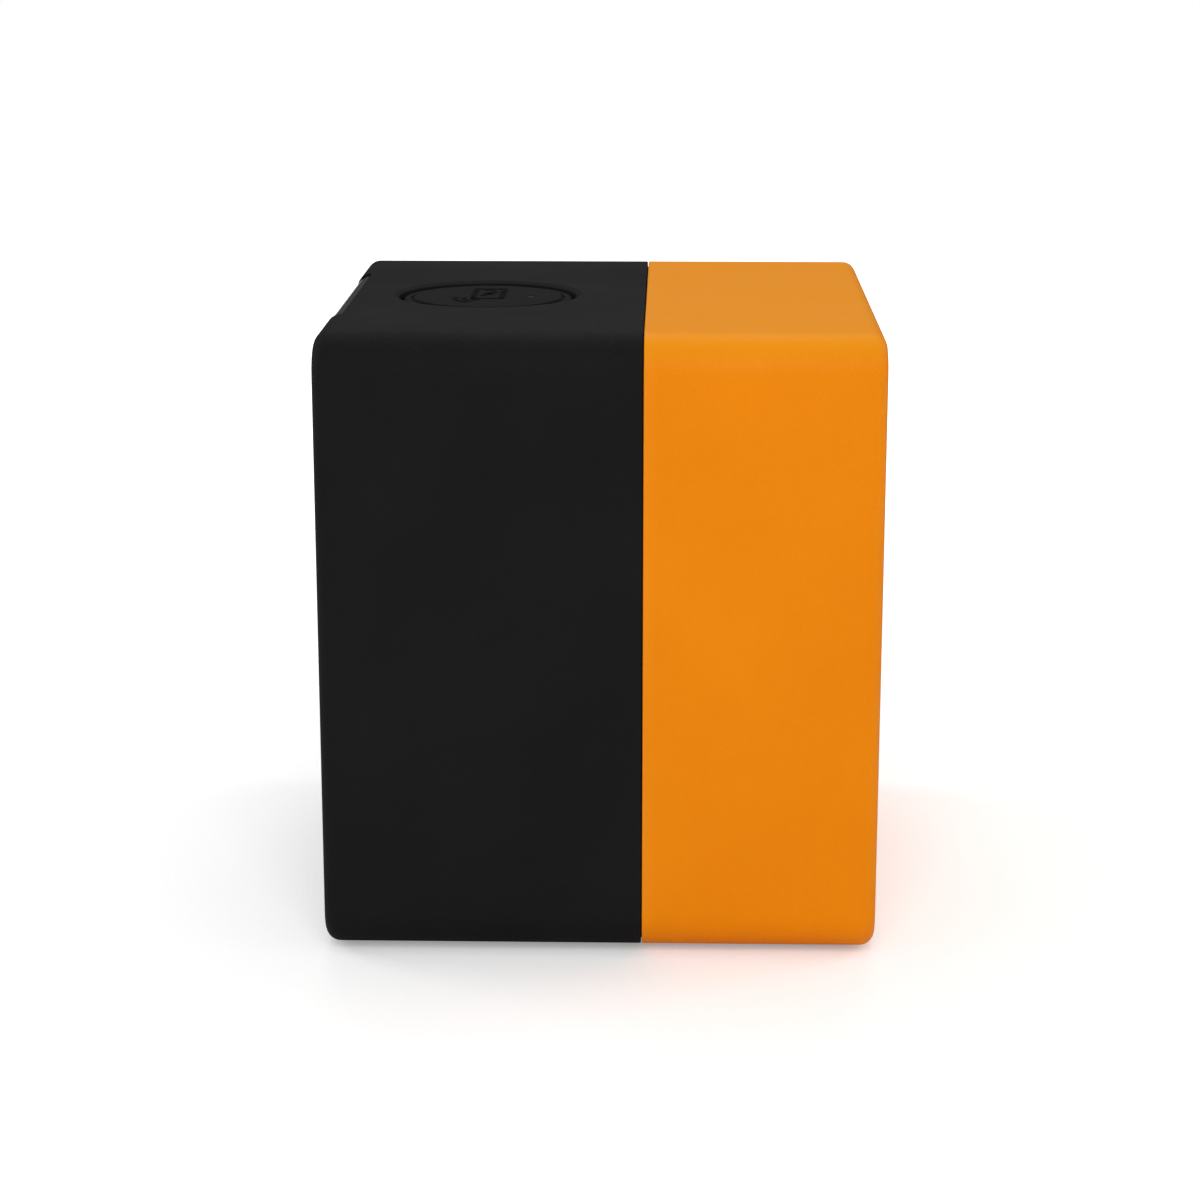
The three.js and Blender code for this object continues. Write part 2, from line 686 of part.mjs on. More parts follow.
/** A pan-head screw along Y, its head's underside at the origin and its shank towards -Y. */
function caseScrew() {
  const shank = barY(SCREW_RADIUS, -SCREW_LENGTH, 0.5, [0, 0], 8);
  const head = barY(SCREW_HEAD_RADIUS, 0, SCREW_HEAD_HEIGHT, [0, 0], 12);
  const drive = barY(SCREW_DRIVE_RADIUS, SCREW_HEAD_HEIGHT / 2, SCREW_HEAD_HEIGHT + 1, [0, 0], 6);
  return cut(joined(shank, head), drive);
}

function foot() {
  const edge = FOOT_PROUD / 3;
  const height = FOOT_PROUD + FOOT_RECESS - GAP;
  const profile = [
    [0, 0],
    [FOOT_RADIUS - edge, 0],
    [FOOT_RADIUS, edge],
    [FOOT_RADIUS, height],
    [0, height],
  ];
  return turnedZ(profile, 20);
}

/** The grille's plate, with two columns of long slots on either side of a spine. */
function exhaustGrille() {
  const outline = roundedRectangle(GRILLE_WIDTH, GRILLE_HEIGHT, GRILLE_RADIUS);
  const plate = slab(outline, -GRILLE_THICKNESS, 0);
  const slotLength = (GRILLE_WIDTH - 2 * GRILLE_BORDER - GRILLE_SPINE) / 2;
  const slotX = (GRILLE_SPINE + slotLength) / 2;
  const rows = Math.floor((GRILLE_HEIGHT - 2 * GRILLE_BORDER) / GRILLE_SLOT_PITCH) + 1;
  const lowest = (-(rows - 1) * GRILLE_SLOT_PITCH) / 2;
  const slots = [];
  for (let row = 0; row < rows; row += 1) {
    for (const side of [-1, 1]) {
      const place = [side * slotX, lowest + row * GRILLE_SLOT_PITCH];
      const slot = roundedRectangle(slotLength, GRILLE_SLOT, GRILLE_SLOT / 2, place);
      slots.push(slab(slot, -GRILLE_THICKNESS - 1, 1, 1));
    }
  }
  return cut(plate, ...slots);
}

addPiece(station, "front_shell", frontShell(), blackPlastic);
addPiece(station, "rear_shell", rearShell(), orangePlastic);
addPiece(station, "exhaust_grille", exhaustGrille(), blackPlastic, [
  0,
  REAR - GRILLE_INSET,
  FAN_CENTRE,
]);
postPlaces().forEach(([x, z], index) => {
  const seat = SEAM + SCREW_SEAT + GAP;
  addPiece(station, `case_screw_${index + 1}`, caseScrew(), steel, [x, seat, z]);
});
for (const [corner, [x, y]] of Object.entries(footPlaces())) {
  addPiece(station, `foot_${corner}`, foot(), softRubber, [x, y, 0]);
}

// ---------------------------------------------------------------- display

function displayWindow() {
  const half = WINDOW_WIDTH / 2;
  return sideSlab(windowSection(WINDOW_INSET, WINDOW_THICKNESS), -half, half);
}

/** The display and the board behind it, which reaches past both of the case's keys. */
function displayModule() {
  const middle = [0, TOP - DISPLAY_BELOW_TOP];
  const windowBack = FRONT + WINDOW_INSET + WINDOW_THICKNESS;
  const glass = roundedRectangle(DISPLAY_WIDTH, DISPLAY_HEIGHT, 1, middle);
  const boardWidth = 2 * (FLANK + ROUND_KEY_RADIUS);
  const board = roundedRectangle(boardWidth, DISPLAY_BOARD_HEIGHT, 2, middle);
  return joined(
    slab(glass, windowBack + 2 * GAP, BOARD_FACE + 0.5, 1),
    slab(board, BOARD_FACE, BOARD_FACE + BOARD_THICKNESS, 1),
  );
}

addPiece(station, "display_window", displayWindow(), smokedWindow);
addPiece(station, "display_module", displayModule(), circuitBoard);

// ---------------------------------------------------------------- push buttons

/** The outline of a key's cap, grown by `extra`: a pill on the panel, round on the case. */
function keyOutline(kind, extra = 0, place = [0, 0]) {
  const width = (kind === "round" ? 2 * ROUND_KEY_RADIUS : KEY_WIDTH) + 2 * extra;
  const height = (kind === "round" ? 2 * ROUND_KEY_RADIUS : KEY_HEIGHT) + 2 * extra;
  return roundedRectangle(width, height, height / 2, place);
}

/** A key with its cap's face at the origin, then the flange behind the wall, and the stem. */
function pushKey(kind, faceToWallBack, faceToBoard) {
  const flangeFront = faceToWallBack + GAP;
  const flangeBack = flangeFront + BUTTON_FLANGE_THICKNESS;
  const stemEnd = faceToBoard - BUTTON_TRAVEL - GAP;
  const arcSegments = kind === "round" ? 4 : 2;
  return joined(
    slab(keyOutline(kind), 0, flangeFront + 0.5, arcSegments),
    slab(keyOutline(kind, BUTTON_FLANGE), flangeFront, flangeBack, arcSegments),
    barY(BUTTON_STEM_RADIUS, flangeBack - 0.5, stemEnd, [0, 0], 8),
  );
}

for (const [name, x] of Object.entries(PANEL_KEYS)) {
  const wallBack = PANEL_THICKNESS + BUTTON_PROUD;
  const key = pushKey("pill", wallBack, BOARD_FACE - PANEL_FACE + BUTTON_PROUD);
  addPiece(panelGroup, name, key, keyPlastic, [x, -BUTTON_PROUD, KEY_ROW]);
}
for (const [name, x] of Object.entries(SHELL_KEYS)) {
  const wallBack = FRONT_WALL - SHELL_KEY_INSET;
  const key = pushKey("round", wallBack, BOARD_SETBACK - SHELL_KEY_INSET);
  const place = [x, FRONT + SHELL_KEY_INSET, TOP - DISPLAY_BELOW_TOP];
  addPiece(station, name, key, keyPlastic, place);
}

// ---------------------------------------------------------------- AC outlets

const OUTLET_FACE_BACK = OUTLET_FACE - OUTLET_PROUD;

function outletOutline(extra = 0, place = [0, 0]) {
  const size = OUTLET_SIZE + 2 * extra;
  return roundedRectangle(size, size, OUTLET_RADIUS + extra, place);
}

/** The x of a blade slot: neutral on the left, live on the right. */
function bladeX(index) {
  return (index - 0.5) * BLADE_PITCH;
}

/** An outlet round the origin of the panel's face, open at the back, with rails for its shutter. */
function acOutlet() {
  const flangeFront = PANEL_THICKNESS + GAP;
  const body = joined(
    slab(outletOutline(), -OUTLET_PROUD, OUTLET_DEPTH),
    slab(outletOutline(OUTLET_FLANGE), flangeFront, flangeFront + OUTLET_FLANGE),
  );
  const inside = slab(outletOutline(-OUTLET_WALL), OUTLET_FACE_BACK, OUTLET_DEPTH + 1);

  const railHalf = OUTLET_SIZE / 2 - OUTLET_WALL / 2;
  const railBack = OUTLET_FACE_BACK + SHUTTER_THICKNESS + 2 * GAP;
  const rails = [-1, 1].map((side) => {
    const middle = BLADE_RISE + side * ((SHUTTER_HEIGHT + SHUTTER_RAIL) / 2 + GAP);
    return block(
      [-railHalf, OUTLET_FACE_BACK - 0.5, middle - SHUTTER_RAIL / 2],
      [railHalf, railBack, middle + SHUTTER_RAIL / 2],
    );
  });

  const front = -OUTLET_PROUD - 1;
  const slots = BLADE_SLOT_HEIGHTS.map((height, index) => {
    const outline = roundedRectangle(BLADE_SLOT_WIDTH, height, 0.3, [bladeX(index), BLADE_RISE]);
    return slab(outline, front, OUTLET_FACE + 1, 1);
  });
  const earth = barY(EARTH_HOLE_RADIUS, front, OUTLET_FACE + 1, [0, BLADE_RISE - EARTH_DROP], 12);
  return cut(joined(cut(body, inside), ...rails), ...slots, earth);
}

/** The sliding shutter behind an outlet's face. At rest its windows stand beside the slots. */
function acShutter() {
  const front = OUTLET_FACE_BACK + GAP;
  const back = front + SHUTTER_THICKNESS;
  const middle = -SHUTTER_TRAVEL / 2;
  const plate = block(
    [middle - SHUTTER_WIDTH / 2, front, BLADE_RISE - SHUTTER_HEIGHT / 2],
    [middle + SHUTTER_WIDTH / 2, back, BLADE_RISE + SHUTTER_HEIGHT / 2],
  );
  const windows = BLADE_SLOT_HEIGHTS.map((height, index) => {
    const x = bladeX(index) - SHUTTER_TRAVEL;
    return block(
      [x - SHUTTER_WINDOW / 2, front - 1, BLADE_RISE - height / 2],
      [x + SHUTTER_WINDOW / 2, back + 1, BLADE_RISE + height / 2],
    );
  });
  return cut(plate, ...windows);
}

OUTLETS_AT.forEach(([x, z], index) => {
  const side = ["left", "right"][index];
  addPiece(panelGroup, `ac_outlet_${side}`, acOutlet(), contactPlastic, [x, 0, z]);
  addPiece(panelGroup, `ac_shutter_${side}`, acShutter(), whitePlastic, [x, 0, z]);
});

// ---------------------------------------------------------------- USB ports

function portOutline(port, extra = 0, place = [0, 0]) {
  const width = port.width + 2 * extra;
  const height = port.height + 2 * extra;
  return roundedRectangle(width, height, port.radius + Math.max(extra, 0), place);
}

/** A port's metal shell, closed at the back, with its mouth at the origin. */
function portShell(port) {
  const outside = slab(portOutline(port), 0, port.depth);
  const inside = slab(portOutline(port, -port.wall), -1, port.depth - port.wall);
  return cut(outside, inside);
}

/** The tongue that carries a port's contacts, in front of the shell's back. */
function portTongue(port, { width, height, length, rise }) {
  const back = port.depth - port.wall - GAP;
  return block(
    [-width / 2, back - length, rise - height / 2],
    [width / 2, back, rise + height / 2],
  );
}

for (const [kind, port, tongue, places] of [
  ["usb_a", USB_A, USB_A_TONGUE, USB_A_AT],
  ["usb_c", USB_C, USB_C_TONGUE, USB_C_AT],
]) {
  places.forEach(([x, z], index) => {
    const mouth = [x, PORT_SETBACK, z];
    addPiece(panelGroup, `${kind}_port_${index + 1}`, portShell(port), nickel, mouth);
    addPiece(panelGroup, `${kind}_tongue_${index + 1}`, portTongue(port, tongue), whitePlastic, mouth);
  });
}

// ---------------------------------------------------------------- round sockets

// The car socket and the charging inlet start at the floor of their covers' pockets.
const COVERED_MOUTH = COVER_POCKET + GAP;

/** A jack with a blind bore and a centre pin, its mouth at the origin. */
function barrelJack({ outer, bore, pin, depth, pinLength }) {
  const floor = depth - SOCKET_BASE;
  const body = barY(outer, 0, depth);
  const hole = barY(bore, -1, floor);
  return joined(cut(body, hole), barY(pin, floor - pinLength + 1, floor + 0.5, [0, 0], 8));
}

/** The car socket's barrel: a tube with a flange behind the panel and a floor at its far end. */
function carSocket() {
  const outer = CAR_SOCKET_BORE + CAR_SOCKET_WALL;
  const flangeFront = PANEL_THICKNESS + GAP - COVERED_MOUTH;
  return cut(
    joined(
      barY(outer, 0, CAR_SOCKET_DEPTH + SOCKET_BASE, [0, 0], 24),
      barY(outer + CAR_SOCKET_FLANGE, flangeFront, flangeFront + SOCKET_BASE, [0, 0], 24),
    ),
    barY(CAR_SOCKET_BORE, -1, CAR_SOCKET_DEPTH, [0, 0], 24),
  );
}

function carSocketContact() {
  const back = CAR_SOCKET_DEPTH - GAP;
  return barY(CAR_CONTACT_RADIUS, back - CAR_CONTACT_LENGTH, back, [0, 0], 12);
}

const [carX, carZ] = CAR_SOCKET_AT;
const [inletX, inletZ] = INLET_AT;
const carMouth = [carX, COVERED_MOUTH, carZ];
const inletMouth = [inletX, COVERED_MOUTH, inletZ];
addPiece(panelGroup, "car_socket", carSocket(), contactPlastic, carMouth);
addPiece(panelGroup, "car_socket_contact", carSocketContact(), steel, carMouth);
addPiece(panelGroup, "dc_input_jack", barrelJack(DC_IN), contactPlastic, inletMouth);
DC_OUT_AT.forEach(([x, z], index) => {
  const mouth = [x, PORT_SETBACK, z];
  addPiece(panelGroup, `dc_output_jack_${index + 1}`, barrelJack(DC_OUT), contactPlastic, mouth);
});

// ---------------------------------------------------------------- hinged covers

/** How far a cover's hinge axis stands above the cover's middle. */
function hingeRise(cover) {
  return cover.radius + COVER_TAB;
}

/** A disc with a tab that reaches up to `top`, grown by `extra` all round. */
function coverBlank(cover, extra, top, yFront, yBack, [x, z] = [0, 0]) {
  const half = KNUCKLE_LENGTH / 2 + extra;
  return joined(
    barY(cover.radius + extra, yFront, yBack, [x, z], 24),
    block([x - half, yFront, z], [x + half, yBack, z + top]),
  );
}

/** A cover round the origin of the panel's face, with its plug ring, knuckle and two pivots. */
function flapCover(cover) {
  const half = KNUCKLE_LENGTH / 2;
  const rise = hingeRise(cover);
  const axis = [COVER_POCKET, rise];
  const ringBack = COVER_POCKET + cover.lipLength;
  const ring = cut(
    barY(cover.lipRadius, COVER_POCKET - 0.5, ringBack),
    barY(cover.lipRadius - COVER_LIP_WALL, COVER_POCKET, ringBack + 1),
  );
  return joined(
    coverBlank(cover, 0, rise - KNUCKLE_CLEARANCE, COVER_POCKET - COVER_THICKNESS, COVER_POCKET),
    ring,
    barX(KNUCKLE_RADIUS, -half, half, axis),
    barX(PIVOT_RADIUS, -half - PIVOT_LENGTH, half + PIVOT_LENGTH, axis, 8),
  );
}

/** What the panel loses for a cover: a pocket, a slot for the knuckle and two pivot holes. */
function coverSeat(cover, [x, z]) {
  const half = KNUCKLE_LENGTH / 2 + COVER_CLEARANCE;
  const axisZ = z + hingeRise(cover);
  const reach = KNUCKLE_RADIUS + KNUCKLE_CLEARANCE;
  const pivotHalf = KNUCKLE_LENGTH / 2 + PIVOT_LENGTH + GAP;
  const top = hingeRise(cover) + COVER_SWING_ROOM;
  return joined(
    coverBlank(cover, COVER_CLEARANCE, top, -1, COVERED_MOUTH, [x, z]),
    block([x - half, -1, axisZ - reach], [x + half, COVER_POCKET + reach, axisZ + reach]),
    barX(PIVOT_RADIUS + PIVOT_CLEARANCE, x - pivotHalf, x + pivotHalf, [COVER_POCKET, axisZ], 8),
  );
}

addPiece(panelGroup, "car_socket_cover", flapCover(CAR_COVER), softRubber, [carX, 0, carZ]);
addPiece(panelGroup, "dc_input_cover", flapCover(INLET_COVER), softRubber, [inletX, 0, inletZ]);

// ---------------------------------------------------------------- control panel

function lampOutline(extra = 0) {
  const width = LAMP_WIDTH + 2 * extra;
  const height = LAMP_HEIGHT + 2 * extra;
  return roundedRectangle(width, height, height / 2, [0, LAMP_ROW]);
}

/** The panel plate round the origin of its face, with an opening for every piece in it. */
function controlPanel() {
  const hole = (outline) => slab(outline, -1, PANEL_THICKNESS + 1);
  const roundHole = (radius, place, segments) =>
    barY(radius, -1, PANEL_THICKNESS + 1, place, segments);
  const outline = roundedRectangle(PANEL_WIDTH, PANEL_HEIGHT, PANEL_RADIUS);
  return cut(
    slab(outline, 0, PANEL_THICKNESS),
    hole(lampOutline(GAP)),
    ...OUTLETS_AT.map((place) => hole(outletOutline(GAP, place))),
    ...USB_A_AT.map((place) => hole(portOutline(USB_A, PORT_CLEARANCE, place))),
    ...USB_C_AT.map((place) => hole(portOutline(USB_C, PORT_CLEARANCE, place))),
    ...Object.values(PANEL_KEYS).map((x) =>
      hole(keyOutline("pill", BUTTON_CLEARANCE, [x, KEY_ROW])),
    ),
    ...DC_OUT_AT.map((place) => roundHole(DC_OUT.outer + GAP, place)),
    coverSeat(CAR_COVER, CAR_SOCKET_AT),
    roundHole(CAR_SOCKET_BORE + CAR_SOCKET_WALL + GAP, CAR_SOCKET_AT, 24),
    coverSeat(INLET_COVER, INLET_AT),
    roundHole(DC_IN.outer + GAP, INLET_AT),
  );
}

/** The lamp's lens: a bar that stands a little proud, with a flange behind the panel. */
function lampLens() {
  const flangeFront = PANEL_THICKNESS + GAP;
  return joined(
    slab(lampOutline(-LAMP_DOME), -LAMP_DOME / 2, 1),
    slab(lampOutline(), 0, flangeFront + 0.5),
    slab(lampOutline(LAMP_FLANGE), flangeFront, flangeFront + LAMP_FLANGE),
  );
}

/** The board behind the panel: switches, ports and jacks end at it, and it holds the lamp's LEDs. */
function controlBoard() {
  const front = BOARD_FACE - PANEL_FACE;
  const back = front + BOARD_THICKNESS;
  const width = PANEL_WIDTH - 2 * PANEL_LEDGE - 2;
  const height = PANEL_HEIGHT - 2 * PANEL_LEDGE - 2;
  const strip = LAMP_STRIP;
  return cut(
    joined(
      slab(roundedRectangle(width, height, 3), front, back, 1),
      block(
        [-strip.width / 2, front - strip.thickness, LAMP_ROW - strip.height / 2],
        [strip.width / 2, front + 0.5, LAMP_ROW + strip.height / 2],
      ),
    ),
    ...OUTLETS_AT.map((place) => slab(outletOutline(1, place), front - 1, back + 1)),
    barY(CAR_SOCKET_BORE + CAR_SOCKET_WALL + 1, front - 1, back + 1, CAR_SOCKET_AT, 20),
  );
}

addPiece(panelGroup, "front_panel", controlPanel(), panelPlastic);
addPiece(panelGroup, "lamp_lens", lampLens(), frostedLens);
addPiece(panelGroup, "control_board", controlBoard(), circuitBoard);

// ---------------------------------------------------------------- wireless charging pad

function chargingPad() {
  const profile = [
    [0, PAD_UNDERSIDE],
    [PAD_RADIUS, PAD_UNDERSIDE],
    [PAD_RADIUS, PAD_FACE - PAD_EDGE],
    [PAD_RADIUS - PAD_EDGE, PAD_FACE],
    [0, PAD_FACE],
  ];
  return cut(turnedZ(profile, 40, [0, PAD_CENTRE_Y]), padLightHole());
}

function padLightPipe() {
  const place = [0, PAD_CENTRE_Y + PAD_LIGHT_OFFSET];
  return barZ(PAD_LIGHT_RADIUS, PAD_BOSS_UNDERSIDE, PAD_FACE, place, 10);
}

/** The flat coil on its ferrite plate, under the floor of the recess. */
function chargingCoil() {
  const top = PAD_BOSS_UNDERSIDE - GAP;
  const plateTop = top - COIL_THICKNESS;
  const profile = [
    [0, plateTop - COIL_PLATE],
    [COIL_OUTER, plateTop - COIL_PLATE],
    [COIL_OUTER, top],
    [COIL_INNER, top],
    [COIL_INNER, plateTop],
    [0, plateTop],
  ];
  return turnedZ(profile, 24, [0, PAD_CENTRE_Y]);
}

addPiece(station, "charging_pad", chargingPad(), padRubber);
addPiece(station, "pad_light_pipe", padLightPipe(), frostedLens);
addPiece(station, "charging_coil", chargingCoil(), copper);

// ---------------------------------------------------------------- cooling fan

/** The fan's frame, its front at the origin, with two struts that carry the motor plate. */
function fanFrame() {
  const outline = roundedRectangle(FAN_SIZE, FAN_SIZE, 4);
  const bore = barY(FAN_BORE, -1, FAN_THICKNESS + 1, [0, 0], 28);
  const ring = cut(slab(outline, 0, FAN_THICKNESS), bore);
  const struts = [-1, 1].map((side) => {
    const geometry = new THREE.BoxGeometry(FAN_STRUT, FAN_BASE, FAN_SIZE);
    geometry.translate(0, FAN_BASE / 2, 0);
    geometry.rotateY((side * Math.PI) / 4);
    return solidOf(geometry);
  });
  return joined(ring, barY(FAN_HUB, 0, FAN_BASE, [0, 0], 20), ...struts);
}

/** The fan's hub with its flat blades, which are set at a pitch. */
function fanRotor() {
  const front = FAN_BASE + 1;
  const back = FAN_THICKNESS - 1;
  const tip = FAN_BORE - FAN_TIP_CLEARANCE;
  const root = FAN_HUB - 1.5;
  const chord = (back - front - 2 * FAN_BLADE_THICKNESS) / Math.sin(FAN_BLADE_PITCH);
  const blades = Array.from({ length: FAN_BLADES }, (_, index) => {
    const geometry = new THREE.BoxGeometry(tip - root, FAN_BLADE_THICKNESS, chord);
    geometry.rotateX(FAN_BLADE_PITCH);
    geometry.translate((tip + root) / 2, (front + back) / 2, 0);
    geometry.rotateY((index * 2 * Math.PI) / FAN_BLADES);
    return solidOf(geometry);
  });
  const sweep = barY(tip, 0, FAN_THICKNESS, [0, 0], 28);
  return joined(barY(FAN_HUB, front, back, [0, 0], 20), joined(...blades).intersect(sweep));
}

const fanGroup = new THREE.Group();
fanGroup.position.set(0, FAN_BACK - FAN_THICKNESS, FAN_CENTRE);
station.add(fanGroup);
addPiece(fanGroup, "fan_frame", fanFrame(), contactPlastic);
addPiece(fanGroup, "fan_rotor", fanRotor(), contactPlastic);

// ---------------------------------------------------------------- battery

// The terminals' distance from the cells' middle, to the left and to the right.
const TERMINAL_X = CELL_LENGTH / 2 - CELL_TERMINAL_INSET;

/** A cell, the middle of its lower front edge at the origin and its terminals to the front. */
function cell() {
  const body = block([-CELL_LENGTH / 2, 0, 0], [CELL_LENGTH / 2, CELL_DEPTH, CELL_HEIGHT]);
  const terminals = [-TERMINAL_X, TERMINAL_X].map((x) =>
    barY(CELL_TERMINAL_RADIUS, -CELL_TERMINAL_HEIGHT, 1, [x, CELL_HEIGHT / 2], 10),
  );
  return joined(body, ...terminals);
}

/** A bar over the terminals of two stacked cells, with the lower terminal behind the origin. */
function busbar() {
  const back = -CELL_TERMINAL_HEIGHT - GAP;
  const height = CELL_PITCH + BUSBAR_WIDTH;
  const outline = roundedRectangle(BUSBAR_WIDTH, height, 3, [0, CELL_PITCH / 2]);
  return slab(outline, back - BUSBAR_THICKNESS, back, 1);
}

/** A tray with sides and a back that holds the lower cells. It is open at the front. */
function batteryTray() {
  const innerX = CELL_LENGTH / 2 + GAP;
  const outerX = innerX + TRAY_THICKNESS;
  const front = BATTERY_FRONT - CELL_TERMINAL_HEIGHT - GAP;
  const innerBack = BATTERY_BACK + GAP;
  const outerBack = innerBack + TRAY_BACK;
  const rim = CELLS_BOTTOM + CELL_PITCH + TRAY_REACH;
  return cut(
    block([-outerX, front, TRAY_FLOOR], [outerX, outerBack, rim]),
    block([-innerX, front - 1, TRAY_FLOOR + TRAY_THICKNESS], [innerX, innerBack, rim + 1]),
  );
}

/** The protection board that stands in front of the cells, between the busbars. */
function protectionBoard() {
  const width = 2 * (TERMINAL_X - BUSBAR_WIDTH);
  return slab(roundedRectangle(width, CELL_PITCH * (CELL_COUNT - 1.5), 2), 0, BOARD_THICKNESS, 1);
}

/** A round lead along a smooth route. */
function lead(route) {
  const path = new THREE.CatmullRomCurve3(route.map((point) => new THREE.Vector3(...point)));
  const section = new THREE.Shape();
  section.absarc(0, 0, LEAD_RADIUS, 0, Math.PI * 2);
  const geometry = new THREE.ExtrudeGeometry(section, {
    steps: 16,
    curveSegments: 4,
    extrudePath: path,
  });
  return solidOf(geometry);
}

/** A lead from a cell's left terminal up to the front edge of the inverter board. */
function batteryLead(level, sidestep) {
  const x = -TERMINAL_X;
  const bend = 4 * LEAD_RADIUS;
  const front = BATTERY_FRONT - CELL_TERMINAL_HEIGHT - GAP;
  const terminal = CELLS_BOTTOM + level * CELL_PITCH + CELL_HEIGHT / 2;
  const end = INVERTER_Z + BOARD_THICKNESS + LEAD_RADIUS + GAP;
  const slope = bend * Math.SQRT1_2;
  return lead([
    [x, front, terminal],
    [x, front - bend / 3, terminal],
    [x + sidestep, front - bend, terminal + bend],
    [x + sidestep, front - bend, end - bend],
    [x + sidestep, front - slope, end - bend + slope],
    [x + sidestep, front, end],
    [x + sidestep, front + bend, end],
  ]);
}

for (let level = 0; level < CELL_COUNT; level += 1) {
  const z = CELLS_BOTTOM + level * CELL_PITCH;
  addPiece(station, `battery_cell_${level + 1}`, cell(), cellWrap, [0, BATTERY_FRONT, z]);
}
for (let level = 0; level < CELL_COUNT - 1; level += 1) {
  const x = level % 2 === 0 ? TERMINAL_X : -TERMINAL_X;
  const z = CELLS_BOTTOM + level * CELL_PITCH + CELL_HEIGHT / 2;
  addPiece(station, `busbar_${level + 1}`, busbar(), copper, [x, BATTERY_FRONT, z]);
}
addPiece(station, "battery_tray", batteryTray(), contactPlastic);
addPiece(station, "bms_board", protectionBoard(), circuitBoard, [
  0,
  BATTERY_FRONT - CELL_TERMINAL_HEIGHT - GAP - BOARD_THICKNESS,
  CELLS_BOTTOM + (CELL_PITCH * CELL_COUNT) / 2,
]);
addPiece(station, "battery_lead_negative", batteryLead(0, -3 * LEAD_RADIUS), blackInsulation);
addPiece(station, "battery_lead_positive", batteryLead(CELL_COUNT - 1, 3 * LEAD_RADIUS), redInsulation);

// ---------------------------------------------------------------- inverter

const INVERTER_BACK = FAN_BACK - FAN_THICKNESS - SHELF_SPACE;
const INVERTER_TOP = INVERTER_Z + BOARD_THICKNESS + GAP;

function inverterBoard() {
  const half = CELL_LENGTH / 2;
  return block([-half, BATTERY_FRONT, INVERTER_Z], [half, INVERTER_BACK, INVERTER_Z + BOARD_THICKNESS]);
}

/** A comb of fins that run from front to back, on a base. */
function heatsink() {
  const { width, length, height, base, fins, fin } = HEATSINK;
  const pitch = (width - fin) / (fins - 1);
  const comb = new THREE.Shape();
  comb.moveTo(-width / 2, 0);
  comb.lineTo(width / 2, 0);
  for (let index = fins - 1; index >= 0; index -= 1) {
    const left = -width / 2 + index * pitch;
    comb.lineTo(left + fin, height);
    comb.lineTo(left, height);
    if (index > 0) {
      comb.lineTo(left, base);
      comb.lineTo(left - pitch + fin, base);
    }
  }
  return slab(comb, 0, length);
}

/** A ferrite core with two windows, and its round winding in the middle. */
function transformer() {
  const { width, length, height, windingRadius } = TRANSFORMER;
  const windows = [-1, 1].map((side) => {
    const middle = (side * width) / 4;
    return block(
      [middle - width / 8, -1, height / 4],
      [middle + width / 8, length + 1, (height * 3) / 4],
    );
  });
  const core = cut(block([-width / 2, 0, 0], [width / 2, length, height]), ...windows);
  const winding = barZ(windingRadius, height / 4 - 0.5, (height * 3) / 4 + 0.5, [0, length / 2], 20);
  return joined(core, winding);
}

const heatsinkPlace = [
  CELL_LENGTH / 2 - HEATSINK_MARGIN - HEATSINK.width / 2,
  INVERTER_BACK - HEATSINK_MARGIN - HEATSINK.length,
  INVERTER_TOP,
];
const transformerPlace = [
  -CELL_LENGTH / 2 + TRANSFORMER_MARGIN + TRANSFORMER.width / 2,
  INVERTER_BACK - TRANSFORMER_MARGIN - TRANSFORMER.length,
  INVERTER_TOP,
];
const capacitorPlace = [0, BATTERY_FRONT + CAPACITOR_MARGIN + CAPACITOR.radius, INVERTER_TOP];
const capacitor = barZ(CAPACITOR.radius, 0, CAPACITOR.height);
addPiece(station, "inverter_board", inverterBoard(), circuitBoard);
addPiece(station, "heatsink", heatsink(), aluminium, heatsinkPlace);
addPiece(station, "inverter_transformer", transformer(), ferrite, transformerPlace);
addPiece(station, "bulk_capacitor", capacitor, blackInsulation, capacitorPlace);

export default station;
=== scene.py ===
# %% [markdown]
# # A camping power station, finished in Blender
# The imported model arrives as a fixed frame: every CAD solid in its place, and a body for
# each thing that moves. Here the outside is modelled again with fine edges and real surfaces,
# and each new piece rides on the body of the solid that it stands for.

# %% load the frame
import json
import math

